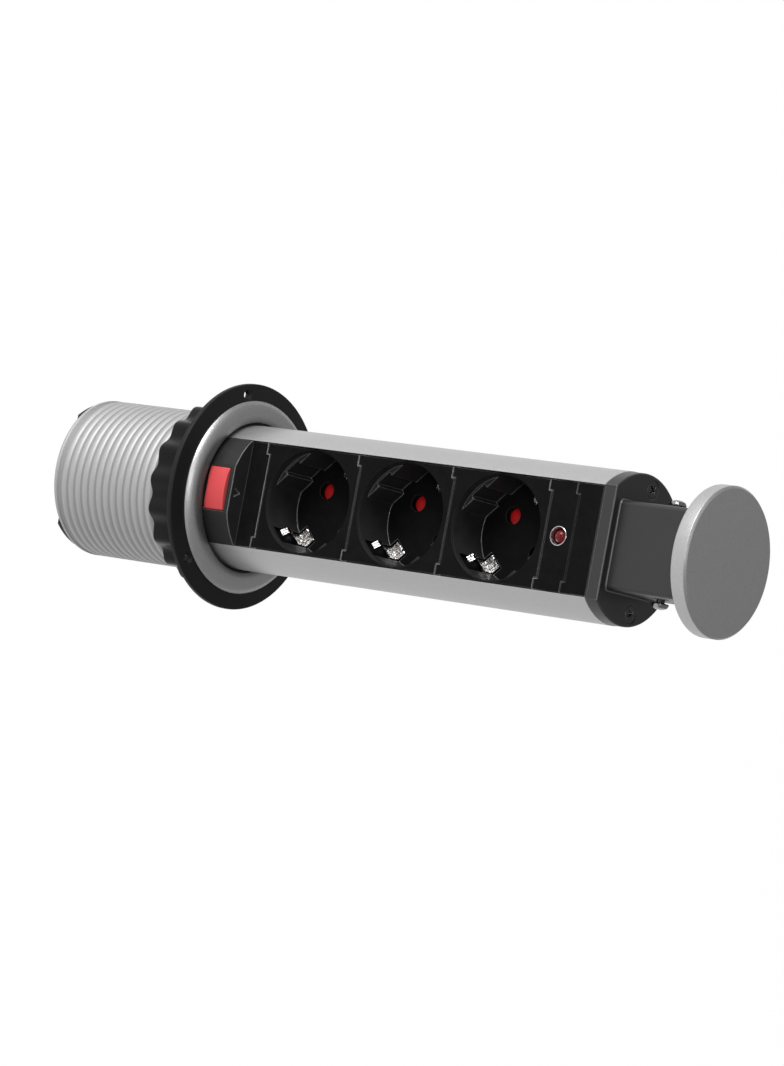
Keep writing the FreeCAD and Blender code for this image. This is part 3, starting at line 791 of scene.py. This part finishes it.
    def trim_ring(self) -> Piece:
        """Turn the ring with its convex face.

        Returns:
            The ring.
        """
        crest = (self.trim_inner + self.crest_inset, self.trim_crest)
        foot = (self.trim_outer, self.trim_foot + self.trim_side)
        edge = (self.trim_inner, self.trim_crest - self.roll_drop)
        shoulder = (self.trim_outer - self.shoulder[0], self.trim_crest - self.shoulder[1])
        roll = (self.trim_inner + self.roll[0], self.trim_crest - self.roll[1])
        profile = [(self.crest_radius, self.trim_foot), (self.trim_outer - self.trim_ease, self.trim_foot)]
        profile += arc_through(foot, shoulder, crest, 14) + arc_through(crest, roll, edge, 8)[1:]
        profile += [(self.trim_inner, self.barrel_top), (self.crest_radius, self.barrel_top)]
        bm = bmesh.new()
        turned(bm, profile, segments=220, closed=True)
        return finished_mesh("convex_trim_ring", bm, sharp_above=45)


@dataclass
class ClampNut:
    """Ring nut with finger lobes, with sizes in mm."""

    bore_radius: float = 31.7
    seat_width: float = 0.4
    middle_radius: float = 34.95
    lobe_depth: float = 1.05
    lobes: int = 18
    plain_width: float = 1.6
    bottom: float = -17.5
    height: float = 12.0

    def build(self) -> None:
        """Build and dress the nut."""
        top = self.bottom + self.height
        bm = bmesh.new()
        turned(bm, rounded([
            (self.bore_radius, self.bottom, 0),
            (self.bore_radius + self.seat_width, self.bottom, 0),
            (self.middle_radius, self.bottom, 0.9),
            (self.middle_radius, top, 0.5),
            (self.bore_radius, top, 0),
        ], steps=5), segments=360, closed=True)
        nut = grown("lobed_ring_nut", finished_mesh("nut_blank", bm), self.lobe_tree(), {
            "Lobes": float(self.lobes),
            "Lobe depth": self.lobe_depth * MM,
            "Plain radius": (self.bore_radius + self.plain_width) * MM,
        })
        place(nut, NUT_BLACK, Body.NUT, "ring_nut")

    @staticmethod
    def lobe_tree() -> Tree:
        """Push the outside in and out in a wave round the axis.

        Returns:
            The tree.
        """
        tree = geometry_tree("Finger lobes", "Lobes", "Lobe depth", "Plain radius")
        size = tree.nodes["In"].outputs
        position = added(tree, "GeometryNodeInputPosition")
        x, y, _ = added(tree, "ShaderNodeSeparateXYZ", {"Vector": position}).outputs
        angle = maths(tree, "ARCTAN2", x, maths(tree, "MULTIPLY", y, -1.0))
        wave = maths(tree, "COSINE", maths(tree, "MULTIPLY", angle, size["Lobes"]))
        flat = added(tree, "ShaderNodeCombineXYZ", {"X": x, "Y": y})
        length = added(tree, "ShaderNodeVectorMath", {0: flat}, operation="LENGTH").outputs["Value"]
        outside = maths(tree, "GREATER_THAN", length, size["Plain radius"])
        reach = maths(tree, "MULTIPLY", maths(tree, "MULTIPLY", wave, size["Lobe depth"]), outside)
        outward = added(tree, "ShaderNodeVectorMath", {0: flat}, operation="NORMALIZE")
        push = added(tree, "ShaderNodeVectorMath", {0: outward, "Scale": reach}, operation="SCALE")
        move = added(tree, "GeometryNodeSetPosition", {"Geometry": size["Geometry"], "Offset": push})
        return close_tree(tree, move, NUT_BLACK)


# Column


@dataclass(frozen=True)
class Window:
    """Places in the window, and how strong the painted highlight on its edges is, with sizes in mm."""

    face: float = -19.0
    floor: float = -0.2
    flat_depth: float = 3.0
    ledge: float = 16.8
    wells: int = 3
    well_radius: float = 19.7
    flat_reach: float = 17.5
    inner_reach: float = 14.0
    first_well: float = 48.6
    well_pitch: float = 45.0
    lamp_height: float = 167.3
    upper_seams: tuple[Pair, ...] = ((173.5, 0.4), (183.9, 1.0))
    face_slack: float = 0.5
    wall_slack: float = 0.1
    rim_width: float = 1.0
    seam_depth: float = 3.0
    seam_reach: float = 1.7
    ledge_reach: float = 0.8
    latch_gain: float = 0.15
    faint_gain: float = 0.1
    flat_gain: float = 0.45
    rim_gain: float = 0.25

    def seams(self) -> list[Pair]:
        """Heights of the joins between the inserts, each with the strength of its light."""
        ends = [self.first_well + (number - 0.5) * self.well_pitch for number in range(self.wells + 1)]
        return [*((height, 1.0) for height in ends), *self.upper_seams]

    def gain(self, x: float, y: float, z: float) -> float:
        """Strength of the painted highlight on the edge at a place, which depends on which way the edge
        faces.

        Args:
            x: Place across the column.
            y: Place from front to back.
            z: Height.

        Returns:
            A strength from 0 to 1.
        """
        if y < self.face - self.face_slack:
            return 1.0 if abs(z - self.ledge) < self.ledge_reach else self.latch_gain
        seam, strength = min(self.seams(), key=lambda entry: abs(entry[0] - z))
        if y < self.face + self.seam_depth and abs(z - seam) < self.seam_reach:
            return strength
        well = min(self.wells - 1, max(0, round((z - self.first_well) / self.well_pitch)))
        along = z - self.first_well - well * self.well_pitch
        reach = math.hypot(x, along)
        if reach < self.inner_reach:
            return self.faint_gain
        left, up = -along / reach, -x / reach
        # Painted highlight by direction: floor edges only on their left side, flats at the upper left, rims
        # at the lower left
        if abs(y - self.floor) < NEAR:
            return max(0.0, left)
        if abs(y - self.face - self.flat_depth) < self.face_slack:
            return self.flat_gain * max(0.0, (left + up) / math.sqrt(2))
        if reach < self.well_radius + self.rim_width:
            return self.rim_gain * max(0.0, (left - up) / math.sqrt(2))
        return self.faint_gain

    def on_wall(self, x: float, y: float, along: float) -> bool:
        """Whether a face is on the round wall of a well.

        Args:
            x: Place across the column.
            y: Place from front to back.
            along: Height above the well's middle.

        Returns:
            True on the wall, and False on the face and the floor.
        """
        round_wall = self.flat_reach < math.hypot(x, along) < self.well_radius + self.wall_slack
        return round_wall and self.face + NEAR < y < self.floor - NEAR


WINDOW = Window()


@dataclass
class Column:
    """Extrusion with the inserts in its window, with sizes in mm."""

    edge_width: float = 0.3
    insert_edge: float = 0.15

    def build(self) -> None:
        """Build and dress the extrusion, its inserts and the sockets."""
        profile = softened("column_profile", "extruded_column", self.edge_width)
        place(profile, SATIN_SILVER, Body.COLUMN, "column_profile")
        self.insert("lamp_module", "face_lamp_module", WINDOW.lamp_height)
        self.insert("blank_module", "face_blank_module")
        dress_nodes(WINDOW_BLACK, "lower_cover")
        for number in range(1, WINDOW.wells + 1):
            self.socket(number)

    def insert(self, node: str, name: str, middle: float | None = None) -> None:
        """Dress one insert of the window, with its light-catching edges marked.

        Args:
            node: CAD node of the insert.
            name: Name of the piece.
            middle: Height in mm of the hole in its face.
        """
        piece = softened(node, name, self.insert_edge, cut=middle)
        mark_edges(piece, WINDOW.gain)
        place(piece, WINDOW_BLACK, Body.COLUMN, node)
        if middle is not None:
            # The round walls of the wells get the lighter black, which is painted light
            dress_faces(piece, WELL_WALL_LIGHTENED, lambda x, y, z: WINDOW.on_wall(x, y, z - middle))

    def socket(self, number: int) -> None:
        """Dress one socket.

        Args:
            number: Number of the socket, from the collar up.
        """
        middle = WINDOW.first_well + (number - 1) * WINDOW.well_pitch
        self.insert(f"socket_body_{number}", f"well_{number}", middle)
        EarthClips(number, middle).build()
        dress_nodes(SATIN_BLACK, f"socket_back_{number}")
        dress_nodes(CONTACT_BRASS, f"live_contact_{number}", f"neutral_contact_{number}")
        dress_nodes(SPRING_STEEL, f"shutter_spring_{number}")
        dress_nodes(SHUTTER_RED, f"shutter_{number}")


@dataclass
class EarthClips:
    """Grooved earth strip of one socket with its two sprung fingers, with sizes in mm."""

    number: int
    height: float
    half_thickness: float = 0.35
    half_width: float = 3.0
    finger_half_width: float = 1.3
    chamfer: float = 0.15
    groove_place: float = 0.42
    groove_half_width: float = 0.25
    groove_depth: float = 0.3
    bend_radius: float = 0.6
    riser: float = 15.75
    wall: float = 19.75
    base_depth: float = 9.35
    shelf_depth: float = 0.15
    wall_front: float = -5.0
    bow: float = 16.2
    bow_depths: Pair = (-12.4, -13.2)
    tip: Pair = (18.45, -14.8)

    def build(self) -> None:
        """Build and dress the strip with both fingers."""
        half = [(self.riser, self.base_depth), (self.riser, self.shelf_depth), (self.wall, self.shelf_depth),
                (self.wall, self.wall_front)]
        finger = [(self.wall, self.wall_front), *((self.bow, depth) for depth in self.bow_depths), self.tip]
        bm = bmesh.new()
        self.strip(bm, self.mirrored(half) + half, self.half_width)
        self.strip(bm, finger, self.finger_half_width)
        self.strip(bm, self.mirrored(finger), self.finger_half_width)
        moved(bm, -math.pi / 4, "Y", (0, 0, self.height))
        clip = finished_mesh(f"grooved_earth_clip_{self.number}", bm, sharp_above=25)
        place(clip, CLIP_STEEL, Body.COLUMN, f"earth_contact_{self.number}")

    @staticmethod
    def mirrored(route: Profile) -> Profile:
        """The same route at the other side, run the other way."""
        return [(-reach, depth) for reach, depth in reversed(route)]

    def section(self, half_width: float) -> Profile:
        """Section of a strip, with two grooves in the side that a plug rubs on.

        Args:
            half_width: Half the strip's width.

        Returns:
            The points (across, towards the well's axis).
        """
        t, c, w, g = self.half_thickness, self.chamfer, half_width, self.groove_half_width
        front = [(-w, t - c), (c - w, t)]
        for centre in (-self.groove_place * w, self.groove_place * w):
            front += [(centre - g, t), (centre, t - self.groove_depth), (centre + g, t)]
        return front + [(w - c, t), (w, t - c), (w, c - t), (w - c, -t), (c - w, -t), (-w, c - t)]

    def strip(self, bm: Mesh, route: Profile, half_width: float) -> None:
        """Add a strip bent along a route.

        Args:
            bm: Mesh to add to.
            route: Points (reach, depth) of its middle line, with the well's axis on its right.
            half_width: Half the strip's width.
        """
        line = [Vector(point) for point in rounded([(*point, self.bend_radius) for point in route])]
        sides = [Vector((run.y, -run.x)).normalized() for run in (b - a for a, b in zip(line, line[1:]))]
        section = self.section(half_width)
        rings = []
        for point, before, after in zip(line, [sides[0], *sides], [*sides, sides[-1]]):
            lean = (before + after).normalized()
            lean /= lean.dot(before)
            rings.append([bm.verts.new((across * MM, (point.y + lean.y * out) * MM,
                                        (point.x + lean.x * out) * MM)) for across, out in section])
        for near, far in zip(rings, rings[1:]):
            for i in range(len(section)):
                j = (i + 1) % len(section)
                bm.faces.new((near[i], near[j], far[j], far[i]))
        bm.faces.new(list(reversed(rings[0])))
        bm.faces.new(rings[-1])


@dataclass
class CrossScrews:
    """A pair of countersunk screws with cross recesses, with sizes in mm."""

    node: str
    face: float
    upside_down: bool
    spacing: float = 46.4
    depth: float = 4.3
    head_radius: float = 3.4
    head_height: float = 2.0
    rim: Pair = (0.2, 0.25)
    shank_radius: float = 1.4
    length: float = 14.0
    point: Pair = (0.5, 0.3)
    point_length: float = 1.6
    recess_reach: float = 2.0
    recess_half_width: float = 0.5
    recess_depth: float = 1.4
    recess_taper: float = 0.55
    turn: float = 1.2

    def build(self) -> None:
        """Build and dress both screws."""
        pair = grown(f"cross_{self.node}", self.blank(), self.pair_tree(), {
            "Spacing": self.spacing * MM,
            "Depth": self.depth * MM,
            "Height": self.face * MM,
            "Flip": math.pi if self.upside_down else 0.0,
            "Turn": self.turn,
        })
        place(pair, DARK_STEEL, Body.COLUMN, self.node)

    def blank(self) -> Piece:
        """Make one screw with its head at the origin.

        Returns:
            The screw.
        """
        bm = bmesh.new()
        turned(bm, [
            (0, -self.length),
            (self.shank_radius - self.point[0], self.point[1] - self.length),
            (self.shank_radius, self.point_length - self.length),
            (self.shank_radius, -self.head_height),
            (self.head_radius, -self.rim[1]),
            (self.head_radius - self.rim[0], 0),
        ], segments=48)
        edge = [item for item in bm.edges if item.is_boundary]
        a, b = self.recess_half_width, self.recess_reach
        corners = [(a, b), (a, a), (b, a), (b, -a), (a, -a), (a, -b), (-a, -b), (-a, -a), (-b, -a), (-b, a),
                   (-a, a), (-a, b)]
        mouth, floor = ([bm.verts.new((x * scale * MM, y * scale * MM, height * MM)) for x, y in corners]
                        for scale, height in ((1.0, 0.0), (self.recess_taper, -self.recess_depth)))
        bm.faces.new(floor)
        for index, vertex in enumerate(mouth):
            following = (index + 1) % len(mouth)
            bm.faces.new((vertex, mouth[following], floor[following], floor[index]))
        lips = [bm.edges.get((mouth[index], mouth[index - 1])) for index in range(len(mouth))]
        bmesh.ops.triangle_fill(bm, use_beauty=True, edges=edge + lips)
        return finished_mesh("screw_blank", bm)

    def pair_tree(self) -> Tree:
        """Set the screw down at both sides, each with its recess turned its own way.

        Returns:
            The tree.
        """
        tree = geometry_tree(f"Pair of {self.node}", "Spacing", "Depth", "Height", "Flip", "Turn")
        size = tree.nodes["In"].outputs
        first = added(tree, "ShaderNodeCombineXYZ", {
            "X": maths(tree, "MULTIPLY", size["Spacing"], -0.5), "Y": size["Depth"], "Z": size["Height"]})
        step = added(tree, "ShaderNodeCombineXYZ", {"X": size["Spacing"]})
        line = added(tree, "GeometryNodeMeshLine", {"Count": 2, "Start Location": first, "Offset": step},
                     mode="OFFSET")
        chance = added(tree, "FunctionNodeRandomValue", {"Seed": 7}, data_type="FLOAT").outputs[1]
        tilt = added(tree, "ShaderNodeCombineXYZ", {
            "X": size["Flip"], "Z": maths(tree, "MULTIPLY", chance, size["Turn"])})
        set_down = added(tree, "GeometryNodeInstanceOnPoints", {
            "Points": line, "Instance": size["Geometry"], "Rotation": tilt})
        return close_tree(tree, set_down, DARK_STEEL)


@dataclass
class PilotLamp:
    """Bezel and lens of the pilot lamp, with sizes in mm."""

    bezel_outline: Corners = ((2.7, -8.0, 0), (3.2, -8.0, 0), (3.2, 0, 0), (3.7, 0, 0.05), (3.7, 0.35, 0.2),
                              (3.35, 0.55, 0.25), (2.8, -0.9, 0.3), (2.7, -1.2, 0))
    lens_radius: float = 2.7
    lens_bottom: float = -9.0
    lens_rise: float = 0.4
    dome_steps: int = 12

    def build(self) -> None:
        """Build and dress the bezel and the lens."""
        bezel = self.on_face("dished_bezel", rounded(self.bezel_outline), True)
        place(bezel, BRIGHT_METAL, Body.COLUMN, "lamp_bezel")
        centre = self.lens_rise - self.lens_radius
        angles = [math.pi / 2 * step / self.dome_steps for step in range(self.dome_steps)]
        dome = [(0, self.lens_bottom), (self.lens_radius, self.lens_bottom)]
        dome += [(self.lens_radius * math.cos(a), centre + self.lens_radius * math.sin(a)) for a in angles]
        dome.append((0, self.lens_rise))
        place(self.on_face("domed_lens", dome, False), LENS_RED, Body.COLUMN, "lamp_lens")

    def on_face(self, name: str, profile: Profile, closed: bool) -> Piece:
        """Turn a profile and stand it on the window's face.

        Args:
            name: Name of the piece.
            profile: Points (radius, height above the face).
            closed: Whether the profile closes on itself.

        Returns:
            The piece.
        """
        bm = bmesh.new()
        turned(bm, profile, segments=72, closed=closed)
        moved(bm, math.pi / 2, "X", (0, WINDOW.face, WINDOW.lamp_height))
        return finished_mesh(name, bm)


@dataclass
class Latch:
    """Latch block and push button, with sizes in mm."""

    edge_width: float = 0.15
    button_edge: float = 0.3

    def build(self) -> None:
        """Build and dress the block and the button."""
        block = softened("latch_block", "rounded_latch_block", self.edge_width)
        mark_edges(block, WINDOW.gain)
        place(block, LATCH_LIGHTENED_BLACK, Body.COLUMN, "latch_block")
        # The strip and ledge keep the darker window black, and the lighter round face is painted light
        dress_faces(block, WINDOW_BLACK, lambda x, y, z: y > WINDOW.face - NEAR)
        button = softened("latch_button", "red_push_button", self.button_edge)
        place(button, BUTTON_RED, Body.BUTTON, "latch_button")
        dress_nodes(SPRING_STEEL, "latch_spring")


@dataclass
class Head:
    """End block, neck, pins and cap, with sizes in mm."""

    cap_radius: float = 27.95
    cap_bottom: float = 223.3
    cap_top: float = 229.75
    bevel: float = 0.9
    screw_face: float = 188.8
    highlight_front: Pair = (-18.95, -18.7)
    neck_foot: float = 189.0
    neck_half_width: float = 16.7
    neck_half_depth: float = 15.2
    neck_corner: float = 1.8
    fillet: float = 0.55
    fillet_wall: float = 0.3
    fillet_steps: int = 6
    corner_steps: int = 8
    pin_height: float = 203.7
    pin_root: float = 11.5
    pin_outline: Corners = ((0, 0, 0), (1.6, 0, 0), (1.6, 6.3, 0.15), (3.0, 6.4, 0.2), (3.25, 6.75, 0.2),
                            (3.2, 7.2, 0.2), (2.7, 8.1, 0.8), (1.4, 8.65, 0.6), (0, 8.8, 0))

    def build(self) -> None:
        """Build and dress the head's pieces."""
        place(self.cap(), SATIN_SILVER, Body.COLUMN, "cap")
        block = softened("end_block", "d_shaped_end_block", width=0.1)
        place(block, NECK_GREY, Body.COLUMN, "end_block")
        # The thin strip at the upper front edge gets the lighter black, which is a painted highlight
        dress_faces(block, HIGHLIGHT_BLACK, self.in_painted_highlight)
        place(softened("neck", "moulded_neck", width=0.2), NECK_GREY, Body.COLUMN, "neck")
        # The fillet is lighter and glossier than the neck, which paints a highlight along the neck's foot
        place(self.foot_fillet(), HIGHLIGHT_BLACK, Body.COLUMN)
        CrossScrews("end_screws", self.screw_face, False).build()
        dress_nodes(SPRING_STEEL, "cap_bolts")
        for name, side in (("left", -1), ("right", 1)):
            place(self.pin(name, side), PIN_STEEL, Body.COLUMN, f"neck_pin_{name}")

    def in_painted_highlight(self, x: float, y: float, z: float) -> bool:
        """Whether a face is on the end block's upper front edge, which carries a painted highlight."""
        return z > self.neck_foot - NEAR and self.highlight_front[0] < y < self.highlight_front[1]

    def foot_fillet(self) -> Piece:
        """Make the hollow fillet round the neck's foot.

        Returns:
            The fillet.
        """
        outline = []
        for quarter, (side_x, side_y) in enumerate(((1, 1), (-1, 1), (-1, -1), (1, -1))):
            middle = Vector((side_x * (self.neck_half_width - self.neck_corner),
                             side_y * (self.neck_half_depth - self.neck_corner)))
            for step in range(self.corner_steps + 1):
                angle = (quarter + step / self.corner_steps) * math.pi / 2
                outline.append((middle, Vector((math.cos(angle), math.sin(angle)))))
        angles = [math.pi / 2 * step / self.fillet_steps for step in range(self.fillet_steps + 1)]
        section = [((1 - math.sin(t)) * self.fillet, (1 - math.cos(t)) * self.fillet) for t in angles]
        section += [(-self.fillet_wall, self.fillet), (-self.fillet_wall, 0)]
        bm = bmesh.new()
        rings = []
        for out, up in section:
            places = [middle + way * (self.neck_corner + out) for middle, way in outline]
            rings.append([bm.verts.new((*(spot * MM), (self.neck_foot + up) * MM)) for spot in places])
        for lower, upper in zip(rings, rings[1:] + rings[:1]):
            for i, vertex in enumerate(lower):
                bm.faces.new((vertex, lower[i - 1], upper[i - 1], upper[i]))
        return finished_mesh("neck_foot_fillet", bm)

    def cap(self) -> Piece:
        """Turn the disc with its bright bevel.

        Returns:
            The cap.
        """
        bm = bmesh.new()
        turned(bm, rounded([
            (0, self.cap_bottom, 0),
            (self.cap_radius, self.cap_bottom, 0.5),
            (self.cap_radius, self.cap_top - self.bevel, 0.25),
            (self.cap_radius - self.bevel, self.cap_top, 0.25),
            (0, self.cap_top, 0),
        ]), segments=220)
        return finished_mesh("bevelled_cap", bm, sharp_above=50)

    def pin(self, name: str, side: int) -> Piece:
        """Turn one shouldered pin with a rounded head.

        Args:
            name: Side in words.
            side: -1 or 1.

        Returns:
            The pin in place.
        """
        bm = bmesh.new()
        turned(bm, rounded(self.pin_outline), segments=64)
        moved(bm, side * math.pi / 2, "Y", (side * self.pin_root, 0, self.pin_height))
        return finished_mesh(f"rounded_pin_{name}", bm, sharp_above=50)


@dataclass
class Foot:
    """Closing plate, bush and screws below the barrel, with sizes in mm."""

    edge_width: float = 0.15
    screw_face: float = -75.2

    def build(self) -> None:
        """Dress the foot's pieces."""
        place(softened("foot", "foot_plate", self.edge_width), SATIN_BLACK, Body.COLUMN, "foot")
        CrossScrews("foot_screws", self.screw_face, True).build()
        dress_nodes(SOFT_RUBBER, "cord_bush")
        dress_nodes(SATIN_BLACK, "cord_clamp")
        dress_nodes(SPRING_STEEL, "clamp_screws")


# Studio


@dataclass
class Studio:
    """Floor, lamps, world and camera, with sizes in metres."""

    floor_height: float = -0.9
    floor_reach: float = 12.0
    camera_place: Point = (0.0929, -1.2282, 1.0254)
    view_direction: Point = (-0.0559, 0.7902, -0.6103)
    view_right: Point = (-0.1807, 0.5931, 0.7846)
    lens: float = 137.33
    sensor_width: float = 36.0
    sight: Pair = (0.05, 100.0)
    lamp_target: Point = (0, 0, 0.08)
    world_level: float = 0.32
    floor_colour: Colour = grey(0.8)
    floor_roughness: float = 0.9
    floor_glow: float = 0.95
    glow_strength: float = 1.03

    def build(self) -> None:
        """Set the studio up."""
        self.floor()
        self.world()
        self.lamp(Lighting.KEY, spot=(-2.3, -1.9, 0.5), size=1.6, power=90.0)
        self.lamp(Lighting.FILL, spot=(1.6, -2.4, 0.6), size=2.0, power=5.0)
        self.lamp(Lighting.FRONT, spot=(-0.12, -1.5, 1.3), size=0.4, power=6.0)
        self.camera()
        bpy.context.scene.view_settings.view_transform = "Standard"

    def floor(self) -> None:
        """Lay a pale floor that shows white to the camera and keeps a soft shadow."""
        bm = bmesh.new()
        bmesh.ops.create_grid(bm, x_segments=1, y_segments=1, size=self.floor_reach)
        bmesh.ops.translate(bm, vec=(0, 0, self.floor_height), verts=bm.verts)
        ground = finished_mesh("studio_floor", bm)
        material = bpy.data.materials.new("Pale floor")
        material.use_nodes = True
        tree = material.node_tree
        shader = fill(tree, tree.nodes["Principled BSDF"], {
            "Base Color": (*self.floor_colour, 1.0), "Roughness": self.floor_roughness})
        glow = added(tree, "ShaderNodeEmission", {"Color": WHITE, "Strength": self.glow_strength})
        rays = added(tree, "ShaderNodeLightPath").outputs
        seen = maths(tree, "MAXIMUM", rays["Is Camera Ray"], rays["Is Glossy Ray"])
        seen = maths(tree, "MAXIMUM", seen, rays["Is Transmission Ray"])
        share = maths(tree, "MULTIPLY", seen, self.floor_glow)
        mix = added(tree, "ShaderNodeMixShader", {"Fac": share, 1: shader, 2: glow})
        fill(tree, tree.nodes["Material Output"], {"Surface": mix})
        ground.data.materials.append(material)

    def world(self) -> None:
        """Set a plain grey light all round."""
        world = bpy.data.worlds.new("Studio light")
        world.use_nodes = True
        background = world.node_tree.nodes["Background"]
        fill(world.node_tree, background, {"Color": WHITE, "Strength": self.world_level})
        bpy.context.scene.world = world

    def lamp(self, role: Lighting, spot: Point, size: float, power: float) -> None:
        """Add one soft area lamp that faces the object.

        Args:
            role: Which lamp it is.
            spot: Its place in metres.
            size: Its width in metres.
            power: Its power in watts.
        """
        light = bpy.data.lights.new(f"{role.value}_lamp", "AREA")
        light.size = size
        light.energy = power
        item = bpy.data.objects.new(light.name, light)
        item.location = spot
        item.rotation_euler = (Vector(self.lamp_target) - Vector(spot)).to_track_quat("-Z", "Y").to_euler()
        bpy.context.scene.collection.objects.link(item)

    def camera(self) -> None:
        """Put the camera at the photograph's place and angle."""
        data = bpy.data.cameras.new("Camera")
        data.sensor_fit = "AUTO"
        data.sensor_width = self.sensor_width
        data.lens = self.lens
        data.clip_start, data.clip_end = self.sight
        camera = bpy.data.objects.new("Camera", data)
        back = -Vector(self.view_direction).normalized()
        right = Vector(self.view_right).normalized()
        up = back.cross(right).normalized()
        right = up.cross(back)
        turn = Matrix((right, up, back)).transposed().to_4x4()
        camera.matrix_world = Matrix.Translation(self.camera_place) @ turn
        bpy.context.scene.collection.objects.link(camera)
        bpy.context.scene.camera = camera


def main() -> None:
    """Build the tower and its studio in order."""
    logging.basicConfig(level=logging.INFO, format="%(name)s: %(message)s")
    for assembly in (Collar(), ClampNut(), Column(), PilotLamp(), Latch(), Head(), Foot(), Studio()):
        log.info("building %s", type(assembly).__name__)
        assembly.build()


if __name__ == "__main__":
    main()
